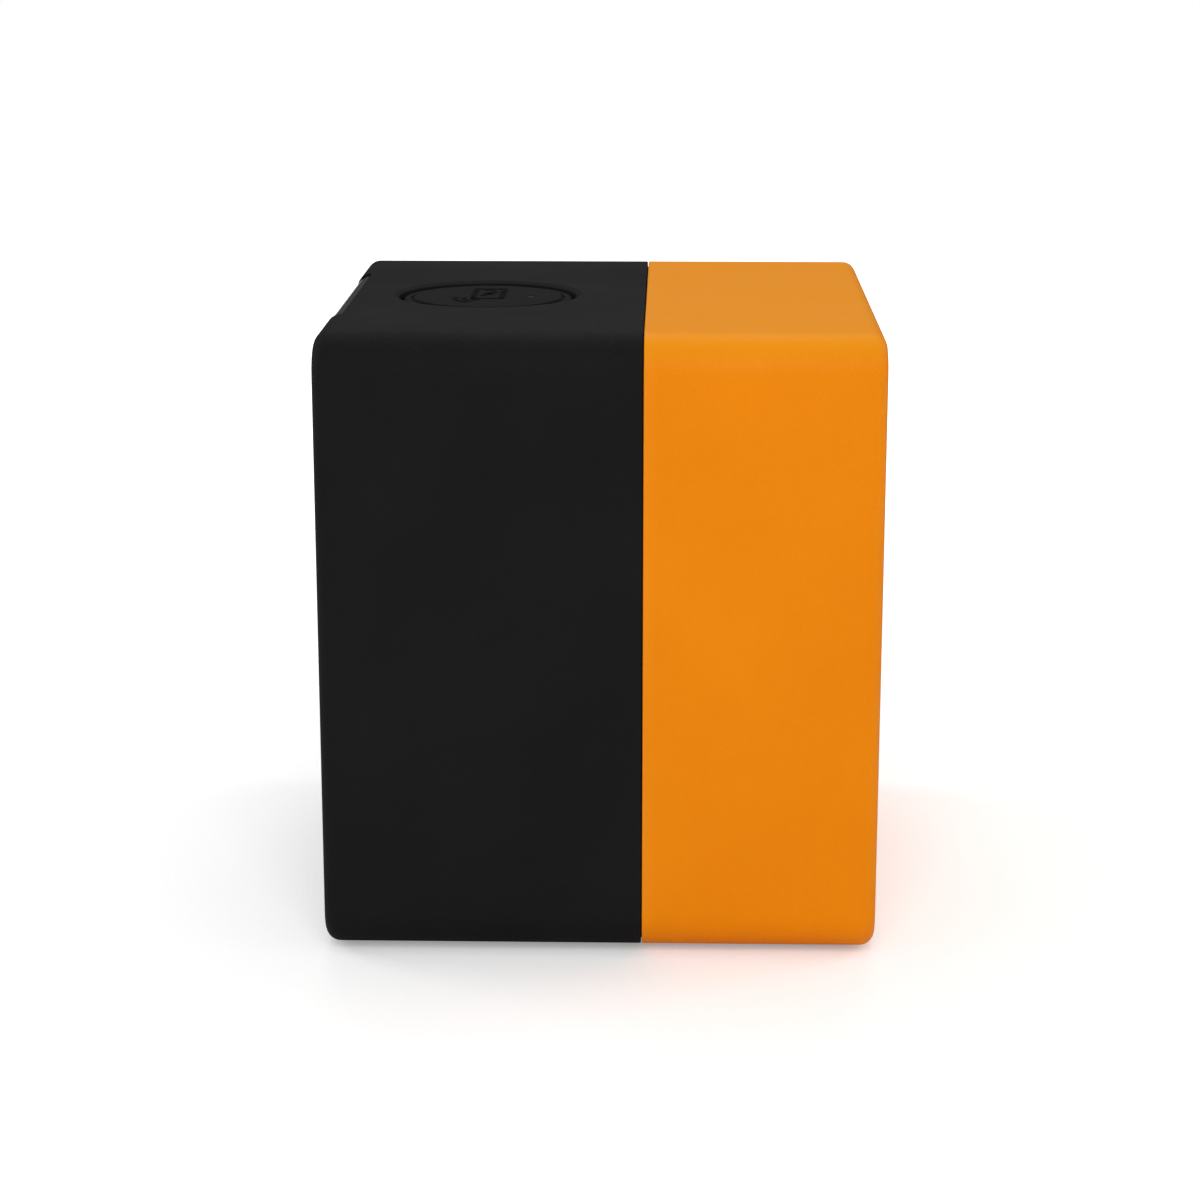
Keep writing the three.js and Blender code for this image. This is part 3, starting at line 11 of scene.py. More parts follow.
import bmesh
import bpy
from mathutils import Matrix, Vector


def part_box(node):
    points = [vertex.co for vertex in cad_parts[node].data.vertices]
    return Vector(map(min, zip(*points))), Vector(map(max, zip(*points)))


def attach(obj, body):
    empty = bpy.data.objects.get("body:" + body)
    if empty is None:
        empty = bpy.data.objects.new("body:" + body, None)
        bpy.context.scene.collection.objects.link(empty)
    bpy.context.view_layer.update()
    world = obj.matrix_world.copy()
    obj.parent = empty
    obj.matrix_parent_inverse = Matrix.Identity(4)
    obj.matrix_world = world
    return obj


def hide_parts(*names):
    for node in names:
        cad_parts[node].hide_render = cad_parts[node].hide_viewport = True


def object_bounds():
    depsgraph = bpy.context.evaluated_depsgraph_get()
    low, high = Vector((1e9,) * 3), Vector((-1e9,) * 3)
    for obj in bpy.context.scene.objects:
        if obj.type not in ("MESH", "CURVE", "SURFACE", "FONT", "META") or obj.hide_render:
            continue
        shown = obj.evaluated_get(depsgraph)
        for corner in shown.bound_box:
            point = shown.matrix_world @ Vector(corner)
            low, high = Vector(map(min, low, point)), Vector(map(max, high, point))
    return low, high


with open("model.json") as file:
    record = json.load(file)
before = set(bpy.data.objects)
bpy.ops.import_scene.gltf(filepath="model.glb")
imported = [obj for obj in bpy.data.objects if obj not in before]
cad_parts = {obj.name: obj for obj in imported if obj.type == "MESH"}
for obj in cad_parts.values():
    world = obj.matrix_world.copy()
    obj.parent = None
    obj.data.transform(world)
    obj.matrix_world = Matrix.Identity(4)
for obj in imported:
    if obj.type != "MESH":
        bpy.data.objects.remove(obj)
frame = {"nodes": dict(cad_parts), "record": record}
cad_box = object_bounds()
MM = 0.001

# %% [markdown]
# ## The studio
# A pale floor, a white surround and five soft boxes. The surround could simply be bright
# everywhere, but black plastic would then mirror white at shallow angles and look grey. So
# the light that falls on the object is dim near the horizon and bright overhead, as in a tent
# with its panels above, while the backdrop itself stays white.

# %% the surround
scene = bpy.context.scene
scene.view_settings.view_transform = "Standard"
HORIZON_LIGHT, OVERHEAD_LIGHT = 0.08, 0.80
surround = bpy.data.worlds.new("studio_surround")
surround.use_nodes = True
scene.world = surround
nodes, links = surround.node_tree.nodes, surround.node_tree.links
nodes.clear()
direction = nodes.new("ShaderNodeTexCoord")
upward = nodes.new("ShaderNodeSeparateXYZ")
brightness = nodes.new("ShaderNodeMapRange")
brightness.inputs["To Min"].default_value = HORIZON_LIGHT
brightness.inputs["To Max"].default_value = OVERHEAD_LIGHT
tent = nodes.new("ShaderNodeBackground")
backdrop = nodes.new("ShaderNodeBackground")
backdrop.inputs["Color"].default_value = (1, 1, 1, 1)
ray = nodes.new("ShaderNodeLightPath")
either = nodes.new("ShaderNodeMixShader")
out = nodes.new("ShaderNodeOutputWorld")
links.new(direction.outputs["Generated"], upward.inputs[0])
links.new(upward.outputs["Z"], brightness.inputs["Value"])
links.new(brightness.outputs["Result"], tent.inputs["Strength"])
links.new(ray.outputs["Is Camera Ray"], either.inputs["Fac"])
links.new(tent.outputs[0], either.inputs[1])
links.new(backdrop.outputs[0], either.inputs[2])
links.new(either.outputs[0], out.inputs["Surface"])
print("surround lit from", HORIZON_LIGHT, "to", OVERHEAD_LIGHT)

# %% the floor
FLOOR_HALF = 6.0
bpy.ops.object.select_all(action="DESELECT")
bpy.ops.mesh.primitive_plane_add(size=2 * FLOOR_HALF)
floor = bpy.context.object
floor.name = "studio_floor"
paper = bpy.data.materials.new("white_paper")
paper.use_nodes = True
paper_shader = paper.node_tree.nodes["Principled BSDF"]
paper_shader.inputs["Base Color"].default_value = (0.88, 0.88, 0.88, 1)
paper_shader.inputs["Roughness"].default_value = 0.9
paper_shader.inputs["Specular IOR Level"].default_value = 0.0
paper_shader.inputs["Emission Color"].default_value = (1, 1, 1, 1)
weave = paper.node_tree.nodes
place = weave.new("ShaderNodeTexCoord")
distance = weave.new("ShaderNodeVectorMath")
distance.operation = "LENGTH"
# The glow is seen by the camera alone and grows with the distance from the middle: weak near the
# object, which paints shade round its base on top of its real contact shadow, and strong further
# off, which keeps the far floor white.
glow_with_painted_shade = weave.new("ShaderNodeMapRange")
for label, value in (("From Min", 0.16), ("From Max", 0.9), ("To Min", 0.30), ("To Max", 0.85)):
    glow_with_painted_shade.inputs[label].default_value = value
fibre = weave.new("ShaderNodeTexNoise")
fibre.inputs["Scale"].default_value = 900.0
felt = weave.new("ShaderNodeBump")
felt.inputs["Distance"].default_value = 0.0001
paper.node_tree.links.new(place.outputs["Object"], distance.inputs[0])
paper.node_tree.links.new(distance.outputs["Value"], glow_with_painted_shade.inputs["Value"])
seen = weave.new("ShaderNodeLightPath")
shown = weave.new("ShaderNodeMath")
shown.operation = "MULTIPLY"
paper.node_tree.links.new(glow_with_painted_shade.outputs["Result"], shown.inputs[0])
paper.node_tree.links.new(seen.outputs["Is Camera Ray"], shown.inputs[1])
paper.node_tree.links.new(shown.outputs[0], paper_shader.inputs["Emission Strength"])
paper.node_tree.links.new(place.outputs["Object"], fibre.inputs["Vector"])
paper.node_tree.links.new(fibre.outputs["Fac"], felt.inputs["Height"])
paper.node_tree.links.new(felt.outputs["Normal"], paper_shader.inputs["Normal"])
floor.data.materials.append(paper)
print("floor", 2 * FLOOR_HALF, "m across")

# %% the soft boxes
def soft_box(name, place, target, width, watts):
    """A square area light that looks at a point."""
    bpy.ops.object.light_add(type="AREA", location=place)
    lamp = bpy.context.object
    lamp.name = name
    lamp.data.size = width
    lamp.data.energy = watts
    lamp.rotation_mode = "QUATERNION"
    lamp.rotation_quaternion = (Vector(target) - Vector(place)).to_track_quat("-Z", "Y")
    return lamp


middle = (cad_box[0] + cad_box[1]) / 2
soft_box("key_box", (1.25, 0.05, 0.95), middle, 0.8, 9.3)
soft_box("low_box", (1.5, -0.1, 0.22), middle, 0.5, 1.6)
soft_box("front_box", (-0.4, -1.3, 0.8), middle, 0.7, 5.0)
soft_box("rear_box", (-0.3, 1.3, 0.8), middle, 0.7, 4.0)
soft_box("left_box", (-0.8, 0.0, 1.3), middle, 0.7, 3.0)

# %% [markdown]
# ## The camera
# It stands to the right of the object, at about the height of a standing person's hand, and
# looks slightly down on the side where the two halves of the case meet.

# %% the camera
bpy.ops.object.camera_add(
    location=(0.9247, 0.0211, 0.3265),
    rotation=(math.radians(75.727), 0, math.radians(91.425)),
)
camera = bpy.context.object
camera.name = "side_camera"
camera.data.lens = 86.56
camera.data.sensor_width = 36.0
scene.camera = camera
print("lens", camera.data.lens, "mm")

# %% [markdown]
# ## Working by hand, in code
# Operators act on whatever is selected, so each helper first clears the selection, then takes
# hold of one piece. Inside edit mode, faces and edges are picked by where they are or which
# way they look, as one would click them. Sizes are in millimetres, as on the drawing.

# %% taking hold of a piece
def start_clean():
    """Leaves edit mode and deselects everything."""
    if bpy.context.mode != "OBJECT":
        bpy.ops.object.mode_set(mode="OBJECT")
    bpy.ops.object.select_all(action="DESELECT")


def take(piece):
    """Makes one piece the only selected one."""
    start_clean()
    piece.select_set(True)
    bpy.context.view_layer.objects.active = piece
    return piece


def edit(piece):
    take(piece)
    bpy.ops.object.mode_set(mode="EDIT")


def settle(name=None):
    """Puts the new object's place, turn and scale into its mesh, and names it."""
    bpy.ops.object.transform_apply(location=True, rotation=True, scale=True)
    piece = bpy.context.object
    piece.name = name or piece.name
    return piece


# %% picking faces and edges
def choose(kind, test):
    """Selects the faces, edges or verts that pass a test, in the mesh being edited."""
    mode = {"faces": "FACE", "edges": "EDGE", "verts": "VERT"}[kind]
    bpy.ops.mesh.select_mode(type=mode)
    bpy.ops.mesh.select_all(action="DESELECT")
    mesh = bmesh.from_edit_mesh(bpy.context.edit_object.data)
    for part in [part for part in getattr(mesh, kind) if test(part)]:
        part.select_set(True)
    bmesh.update_edit_mesh(bpy.context.edit_object.data)


def facing(*way):
    return lambda face: face.normal.dot(Vector(way)) > 0.999


def rim_of(*way):
    """The edges round the flat end that faces this way."""
    end = facing(*way)
    return lambda edge: sum(end(face) for face in edge.link_faces) == 1


def along(*way):
    def test(edge):
        run = (edge.verts[0].co - edge.verts[1].co).normalized()
        return abs(run.dot(Vector(way))) > 0.999

    return test


# %% [markdown]
# ### Bars, holes and turned parts
# Nearly everything here is a plate or a bar with a rounded outline, a hole with a softened
# mouth, or a round part. A bar starts as a cube whose four long edges are bevelled. A hole is
# a cutter whose end face is inset in steps along a quarter circle before it is pushed in, so
# the edge that it leaves is rounded and catches the light. A round part is a profile that is
# spun about its axis, as on a lathe.

# %% a bar with a rounded outline
def bar(name, outline, near, far, corner_steps=8, near_round=0, far_round=0, steps=4):
    """A solid across X and Z, (x, z, width, height, radius), from one depth to another along Y."""
    x, z, width, height, radius = outline
    start_clean()
    place = (x * MM, (near + far) / 2 * MM, z * MM)
    is_round = width == height and 2 * radius >= width
    if is_round:
        bpy.ops.mesh.primitive_cylinder_add(
            vertices=6 * corner_steps,
            radius=width / 2 * MM,
            depth=(far - near) * MM,
            location=place,
            rotation=(math.pi / 2, 0, 0),
        )
    else:
        size = (width * MM, (far - near) * MM, height * MM)
        bpy.ops.mesh.primitive_cube_add(size=1, location=place, scale=size)
    piece = settle(name)
    bpy.ops.object.mode_set(mode="EDIT")
    if radius and not is_round:
        choose("edges", along(0, 1, 0))
        bpy.ops.mesh.bevel(offset=radius * MM, segments=corner_steps, affect="EDGES")
        bpy.ops.mesh.select_all(action="SELECT")
        bpy.ops.mesh.remove_doubles(threshold=0.002 * MM)
    for way, size in ((-1, near_round), (1, far_round)):
        if size:
            choose("edges", rim_of(0, way, 0))
            bpy.ops.mesh.bevel(offset=size * MM, segments=steps, affect="EDGES")
    bpy.ops.object.mode_set(mode="OBJECT")
    return piece


# %% a cutter with a softened mouth
def hole(outline, face, floor, lip=0.4, steps=3, corner_steps=8):
    """A cutter that sinks an outline from a face to a floor, both along Y."""
    x, z, width, height, radius = outline
    way = 1 if floor > face else -1
    grown = (x, z, width + 2 * lip, height + 2 * lip, radius + lip)
    near, far = sorted((face - way, face))
    cutter = bar("cutter", grown, near, far, corner_steps)
    edit(cutter)
    choose("faces", facing(0, way, 0))
    for step in range(steps if lip else 0):
        a, b = (math.pi / 2 * (step + n) / steps for n in (0, 1))
        inward = lip * (math.sin(b) - math.sin(a)) * MM
        deeper = lip * (math.cos(a) - math.cos(b)) * MM
        bpy.ops.mesh.inset(thickness=inward, depth=deeper)
    push = (0, (floor - face - way * lip) * MM, 0)
    bpy.ops.mesh.extrude_region_move(TRANSFORM_OT_translate={"value": push})
    bpy.ops.object.mode_set(mode="OBJECT")
    return cutter


# %% a turned part
TURN_TO = {
    "up": (0, 0, 0),
    "front": (math.pi / 2, 0, 0),
    "rear": (-math.pi / 2, 0, 0),
    "right": (0, math.pi / 2, 0),
}


def quarter(radius, height, size, start, end, steps=5):
    """Points round a centre (radius, height) in a profile, from one angle to another."""
    angles = [math.radians(start + (end - start) * n / steps) for n in range(steps + 1)]
    return [(radius + size * math.cos(a), height + size * math.sin(a)) for a in angles]


def turned(name, profile, place, way="up", steps=64, angle=360):
    """Spins (radius, height) points about the axis through a place that looks `way`."""
    start_clean()
    bpy.ops.mesh.primitive_plane_add(size=MM)
    bpy.ops.object.mode_set(mode="EDIT")
    bpy.ops.mesh.select_mode(type="VERT")
    bpy.ops.mesh.select_all(action="SELECT")
    bpy.ops.mesh.merge(type="CENTER")
    first = profile[0]
    bpy.ops.transform.translate(value=(first[0] * MM, 0, first[1] * MM))
    for (r0, h0), (r1, h1) in zip(profile, profile[1:]):
        step = ((r1 - r0) * MM, 0, (h1 - h0) * MM)
        bpy.ops.mesh.extrude_region_move(TRANSFORM_OT_translate={"value": step})
    bpy.ops.mesh.select_all(action="SELECT")
    bpy.ops.mesh.spin(steps=steps, angle=math.radians(angle), center=(0, 0, 0), axis=(0, 0, 1))
    bpy.ops.mesh.select_all(action="SELECT")
    bpy.ops.mesh.remove_doubles(threshold=0.001 * MM)
    bpy.ops.mesh.normals_make_consistent(inside=False)
    bpy.ops.object.mode_set(mode="OBJECT")
    piece = bpy.context.object
    piece.location = [value * MM for value in place]
    piece.rotation_euler = TURN_TO[way]
    return settle(name)


# %% cutting, joining and copying
def carve(piece, *tools, way="DIFFERENCE"):
    """Cuts tools out of a piece one after the other, or adds them to it."""
    for tool in tools:
        take(piece)
        cut = piece.modifiers.new("carve", "BOOLEAN")
        cut.operation, cut.solver, cut.object = way, "EXACT", tool
        bpy.ops.object.modifier_apply(modifier=cut.name)
        bpy.data.objects.remove(tool)
    return piece


def gathered(name, parts):
    """Several objects as one."""
    start_clean()
    for part in parts:
        part.select_set(True)
    bpy.context.view_layer.objects.active = parts[0]
    if len(parts) > 1:
        bpy.ops.object.join()
    parts[0].name = name
    return parts[0]


def copied(piece, name, *offset):
    """A copy with its own mesh, moved by millimetres."""
    take(piece)
    bpy.ops.object.duplicate(linked=False)
    bpy.context.object.location = [value * MM for value in offset]
    return settle(name)


# %% handing a piece over
def drawing(node):
    """A node's middle and size in millimetres."""
    low, high = (Vector(corner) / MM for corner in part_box(node))
    return (low + high) / 2, high - low


def hand_over(piece, materials, body, slot, *nodes, smooth=40):
    """Shades a piece, gives it its materials, hangs it on the body that it rides on, and hides the
    solids that it stands for.
    """
    take(piece)
    bpy.ops.object.shade_smooth_by_angle(angle=math.radians(smooth))
    flat = piece.modifiers.new("flat faces stay flat", "WEIGHTED_NORMAL")
    flat.keep_sharp = True
    flat.weight = 100
    bpy.ops.object.modifier_apply(modifier=flat.name)
    if not piece.data.materials:
        for material in materials:
            piece.data.materials.append(material)
    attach(piece, body)
    if nodes:
        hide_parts(*nodes)
    print(f"{piece.name}: {len(piece.data.polygons)} faces, rides on {body}")
    return piece


print("helpers ready")

# %% [markdown]
# ## Surface effects that several finishes share
# Real mouldings are never one flat colour. The steel mould is etched, so the plastic comes out
# with a fine pebble; the colour drifts a little; and hands polish the edges. Each effect is a
# node group with named inputs and outputs, built once and placed in each finish with its own
# values. The groups put out only masks and heights; the shader stays in the finish itself.

# %% building node trees
def node(tree, kind, settings=(), **inputs):
    """Adds a node. An input is a value, or an output of another node to link."""
    made = tree.nodes.new("ShaderNode" + kind)
    for key, value in dict(settings).items():
        setattr(made, key, value)
    for key, value in inputs.items():
        plug(tree, made.inputs[key.replace("_", " ")], value)
    return made


def plug(tree, socket, value):
    if isinstance(value, bpy.types.NodeSocket):
        tree.links.new(value, socket)
    else:
        socket.default_value = value


def maths(tree, operation, *values):
    made = tree.nodes.new("ShaderNodeMath")
    made.operation = operation
    for socket, value in zip(made.inputs, values):
        plug(tree, socket, value)
    return made.outputs[0]


def ramp(tree, value, low, high, to_low=0.0, to_high=1.0):
    """A value between two levels, stretched to another range and held at its ends."""
    made = node(
        tree, "MapRange", Value=value, From_Min=low, From_Max=high, To_Min=to_low, To_Max=to_high
    )
    return made.outputs["Result"]


def blended(tree, factor, first, second):
    """One colour over another."""
    mix = tree.nodes.new("ShaderNodeMix")
    mix.data_type = "RGBA"
    plug(tree, mix.inputs["Factor"], factor)
    for name, value in (("A", first), ("B", second)):
        socket = next(s for s in mix.inputs if s.name == name and s.type == "RGBA")
        plug(tree, socket, value if isinstance(value, bpy.types.NodeSocket) else (*value, 1))
    return next(s for s in mix.outputs if s.type == "RGBA")


def effect(name, inputs, outputs):
    """An empty node group with its sockets, and the nodes at its two ends."""
    group = bpy.data.node_groups.new(name, "ShaderNodeTree")
    for label, kind, value in inputs:
        socket = group.interface.new_socket(name=label, in_out="INPUT", socket_type=kind)
        socket.default_value = value
    for label in outputs:
        group.interface.new_socket(name=label, in_out="OUTPUT", socket_type="NodeSocketFloat")
    return group, group.nodes.new("NodeGroupInput"), group.nodes.new("NodeGroupOutput")


FLOAT, VECTOR = "NodeSocketFloat", "NodeSocketVector"

# %% etched grain: a pebble and a few pale flecks
GRAIN, enter, leave = effect("etched_grain", [("Cell", FLOAT, 1800.0)], ["Height", "Fleck"])
spot = node(GRAIN, "TexCoord").outputs["Object"]
pebble = node(GRAIN, "TexNoise", Vector=spot, Scale=enter.outputs["Cell"], Detail=2.0)
coarse = maths(GRAIN, "MULTIPLY", enter.outputs["Cell"], 0.45)
swell = node(GRAIN, "TexNoise", Vector=spot, Scale=coarse, Detail=1.0)
height = maths(GRAIN, "MULTIPLY_ADD", swell.outputs["Fac"], 0.7, pebble.outputs["Fac"])
finer = maths(GRAIN, "MULTIPLY", enter.outputs["Cell"], 0.7)
dots = node(GRAIN, "TexVoronoi", Vector=spot, Scale=finer)
tone = node(GRAIN, "SeparateColor", Color=dots.outputs["Color"])
rare = ramp(GRAIN, tone.outputs["Red"], 0.72, 0.95)
small = ramp(GRAIN, dots.outputs["Distance"], 0.25, 0.5, 1.0, 0.0)
GRAIN.links.new(height, leave.inputs["Height"])
GRAIN.links.new(maths(GRAIN, "MULTIPLY", rare, small), leave.inputs["Fleck"])

# %% slow drift of colour and gloss
DRIFT, enter, leave = effect("slow_drift", [("Size", FLOAT, 0.04)], ["Amount"])
spot = node(DRIFT, "TexCoord").outputs["Object"]
scale = maths(DRIFT, "DIVIDE", 1.0, enter.outputs["Size"])
cloud = node(DRIFT, "TexNoise", Vector=spot, Scale=scale, Detail=4.0, Roughness=0.55)
DRIFT.links.new(ramp(DRIFT, cloud.outputs["Fac"], 0.3, 0.7), leave.inputs["Amount"])

# %% edges rubbed by hands: near two outer faces of a box at once
RUB, enter, leave = effect(
    "rubbed_edges",
    [("Middle", VECTOR, (0, 0, 0)), ("Half Size", VECTOR, (1, 1, 1)), ("Reach", FLOAT, 0.004)],
    ["Amount"],
)
spot = node(RUB, "TexCoord").outputs["Object"]
offset = node(RUB, "VectorMath", {"operation": "SUBTRACT"})
RUB.links.new(spot, offset.inputs[0])
RUB.links.new(enter.outputs["Middle"], offset.inputs[1])
reach = node(RUB, "VectorMath", {"operation": "ABSOLUTE"})
RUB.links.new(offset.outputs[0], reach.inputs[0])
inset = node(RUB, "VectorMath", {"operation": "SUBTRACT"})
RUB.links.new(enter.outputs["Half Size"], inset.inputs[0])
RUB.links.new(reach.outputs[0], inset.inputs[1])
inside = node(RUB, "SeparateXYZ", Vector=inset.outputs[0])
x, y, z = inside.outputs
lesser, greater = maths(RUB, "MINIMUM", x, y), maths(RUB, "MAXIMUM", x, y)
second = maths(RUB, "MAXIMUM", lesser, maths(RUB, "MINIMUM", greater, z))
near = maths(RUB, "SUBTRACT", 1.0, maths(RUB, "DIVIDE", second, enter.outputs["Reach"]))
patchy = node(RUB, "TexNoise", Vector=spot, Scale=25.0, Detail=2.0)
worn = maths(RUB, "MULTIPLY", near, ramp(RUB, patchy.outputs["Fac"], 0.25, 0.75))
RUB.links.new(ramp(RUB, worn, 0.0, 0.7), leave.inputs["Amount"])

# %% dust that settles on whatever faces up, and a mask of up-facing faces for the painted top light
DUST_AND_TOP_LIGHT, enter, leave = effect("dust_and_top_light", [("Cell", FLOAT, 900.0)], ["Amount", "Upward"])
way = node(DUST_AND_TOP_LIGHT, "SeparateXYZ", Vector=node(DUST_AND_TOP_LIGHT, "NewGeometry").outputs["Normal"])
specks = node(DUST_AND_TOP_LIGHT, "TexNoise", Scale=enter.outputs["Cell"], Detail=3.0)
DUST_AND_TOP_LIGHT.links.new(node(DUST_AND_TOP_LIGHT, "TexCoord").outputs["Object"], specks.inputs["Vector"])
up = ramp(DUST_AND_TOP_LIGHT, way.outputs["Z"], 0.6, 1.0)
thin = ramp(DUST_AND_TOP_LIGHT, specks.outputs["Fac"], 0.52, 0.75)
DUST_AND_TOP_LIGHT.links.new(maths(DUST_AND_TOP_LIGHT, "MULTIPLY", up, thin), leave.inputs["Amount"])
DUST_AND_TOP_LIGHT.links.new(ramp(DUST_AND_TOP_LIGHT, way.outputs["Z"], 0.2, 0.9), leave.inputs["Upward"])

# %% the lay of drawn and rolled metal
LAY, enter, leave = effect("metal_lay", [("Stretch", VECTOR, (1, 1, 1))], ["Streak", "Height"])
spot = node(LAY, "TexCoord").outputs["Object"]
drawn = node(LAY, "VectorMath", {"operation": "MULTIPLY"})
LAY.links.new(spot, drawn.inputs[0])
LAY.links.new(enter.outputs["Stretch"], drawn.inputs[1])
streak = node(LAY, "TexNoise", Vector=drawn.outputs[0], Scale=400.0, Detail=3.0)
LAY.links.new(ramp(LAY, streak.outputs["Fac"], 0.3, 0.7), leave.inputs["Streak"])
LAY.links.new(streak.outputs["Fac"], leave.inputs["Height"])
print("effects:", [group.name for group in bpy.data.node_groups])

# %% [markdown]
# ## The finishes
# All of the plastics and rubbers are one recipe with different values: two close shades that
# drift into each other, flecks from the grain, a polished tint on rubbed edges, a little dust,
# and the grain as bump. Copying one material and changing its colour would be quicker, but the
# grain of a rubber foot and that of a glossy window differ in scale as much as in colour.

# %% a new finish
def new_finish(name, **constants):
    """A material and its shader. Values that don't vary are set on the shader's own sockets."""
    material = bpy.data.materials.new(name)
    material.use_nodes = True
    tree = material.node_tree
    shader = tree.nodes["Principled BSDF"]
    for key, value in constants.items():
        shader.inputs[key.replace("_", " ")].default_value = value
    return material, tree, shader


def placed(tree, group, **inputs):
    """One of the shared effects, placed in a finish with its own values."""
    made = tree.nodes.new("ShaderNodeGroup")
    made.node_tree = group
    for key, value in inputs.items():
        plug(tree, made.inputs[key.replace("_", " ")], value)
    return made


def bumped(tree, shader, height, depth, strength=1.0):
    bump = node(tree, "Bump", Height=height, Distance=depth, Strength=strength)
    tree.links.new(bump.outputs["Normal"], shader.inputs["Normal"])


# %% the recipe for plastics and rubbers
def moulding(
    name, deep, pale, gloss, cell=1800.0, depth=0.00004, fleck=None, fleck_part=0.5,
    rub=None, rub_tint=None, painted_top_light=None, dust=0.0, drift=0.05, **constants,
):
    """Two shades, flecks, rubbed edges (a node to read the box from), painted top light, dust,
    grain.
    """
    material, tree, shader = new_finish(name, **constants)
    grain = placed(tree, GRAIN, Cell=cell)
    amount = placed(tree, DRIFT, Size=drift).outputs["Amount"]
    colour = blended(tree, amount, deep, pale)
    rough = ramp(tree, amount, 0.0, 1.0, gloss + 0.04, gloss - 0.04)
    if fleck:
        part = maths(tree, "MULTIPLY", grain.outputs["Fleck"], fleck_part)
        colour = blended(tree, part, colour, fleck)
    if rub:
        low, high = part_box(rub)
        worn = placed(
            tree, RUB, Middle=(low + high) / 2, Half_Size=(high - low) / 2, Reach=0.004
        ).outputs["Amount"]
        colour = blended(tree, maths(tree, "MULTIPLY", worn, 0.25), colour, rub_tint)
        rough = maths(tree, "MULTIPLY_ADD", worn, -0.1, rough)
    # Faces that look up are blended towards a lighter, yellower tint: painted light on the top,
    # where the overhead light falls.
    if painted_top_light:
        upward = placed(tree, DUST_AND_TOP_LIGHT).outputs["Upward"]
        colour = blended(tree, maths(tree, "MULTIPLY", upward, 0.6), colour, painted_top_light)
    if dust:
        settled = maths(tree, "MULTIPLY", placed(tree, DUST_AND_TOP_LIGHT).outputs["Amount"], dust)
        colour = blended(tree, settled, colour, (0.45, 0.43, 0.40))
    tree.links.new(colour, shader.inputs["Base Color"])
    tree.links.new(rough, shader.inputs["Roughness"])
    bumped(tree, shader, grain.outputs["Height"], depth)
    return material


FINISH = {}
FINISH["black_case"] = moulding(
    "black_case", (0.0084, 0.0084, 0.0085), (0.0102, 0.0102, 0.0103), 0.66,
    cell=1500.0, fleck=(0.014, 0.014, 0.014), rub="front_shell", rub_tint=(0.012, 0.012, 0.012),
    dust=0.01, Specular_IOR_Level=0.05,
)
# The orange case gets painted light on its top: a lighter, yellower tint on the faces that look up.
FINISH["orange_case"] = moulding(
    "orange_case", (0.84, 0.232, 0.0008), (0.88, 0.252, 0.0014), 0.52,
    cell=2200.0, fleck=(0.94, 0.42, 0.06), fleck_part=0.25, rub="rear_shell",
    rub_tint=(0.90, 0.32, 0.02), painted_top_light=(0.86, 0.33, 0.006), dust=0.02, Specular_IOR_Level=0.07,
)
FINISH["dark_plastic"] = moulding(
    "dark_plastic", (0.0048, 0.0048, 0.005), (0.0062, 0.0062, 0.0064), 0.44,
    cell=2600.0, depth=0.00002, fleck=(0.014, 0.014, 0.014), Specular_IOR_Level=0.22,
)
FINISH["key_plastic"] = moulding(
    "key_plastic", (0.017, 0.017, 0.018), (0.022, 0.022, 0.023), 0.42,
    cell=3200.0, depth=0.000012, drift=0.01, Specular_IOR_Level=0.3,
)
FINISH["pad_rubber"] = moulding(
    "pad_rubber", (0.0052, 0.0052, 0.0053), (0.0066, 0.0066, 0.0067), 0.82,
    cell=2400.0, depth=0.00003, fleck=(0.012, 0.012, 0.012), dust=0.02, Specular_IOR_Level=0.05,
    Sheen_Weight=0.01,
)
FINISH["soft_rubber"] = moulding(
    "soft_rubber", (0.009, 0.009, 0.009), (0.013, 0.013, 0.0125), 0.78,
    cell=2000.0, depth=0.00004, dust=0.04, Specular_IOR_Level=0.2, Sheen_Weight=0.05,
)
FINISH["white_plastic"] = moulding(
    "white_plastic", (0.66, 0.65, 0.61), (0.72, 0.71, 0.67), 0.42,
    cell=3000.0, depth=0.00001, drift=0.01,
)
FINISH["black_insulation"] = moulding(
    "black_insulation", (0.006, 0.006, 0.006), (0.012, 0.012, 0.012), 0.42,
    cell=1200.0, depth=0.00003, drift=0.01,
)
FINISH["red_insulation"] = moulding(
    "red_insulation", (0.36, 0.012, 0.009), (0.43, 0.02, 0.014), 0.42,
    cell=1200.0, depth=0.00003, drift=0.01,
)
FINISH["ferrite"] = moulding(
    "ferrite", (0.032, 0.031, 0.034), (0.05, 0.048, 0.052), 0.7,
    cell=700.0, depth=0.0001, fleck=(0.11, 0.11, 0.12), drift=0.01,
)
FINISH["pale_print"] = moulding(
    "pale_print", (0.50, 0.50, 0.49), (0.58, 0.58, 0.57), 0.5,
    cell=4000.0, depth=0.000005, drift=0.004,
)
FINISH["dark_print"] = moulding(
    "dark_print", (0.0008, 0.0008, 0.0008), (0.0016, 0.0016, 0.0016), 0.7,
    cell=3000.0, depth=0.00001, drift=0.004, Specular_IOR_Level=0.03,
)
print("plastics and rubbers:", sorted(FINISH))

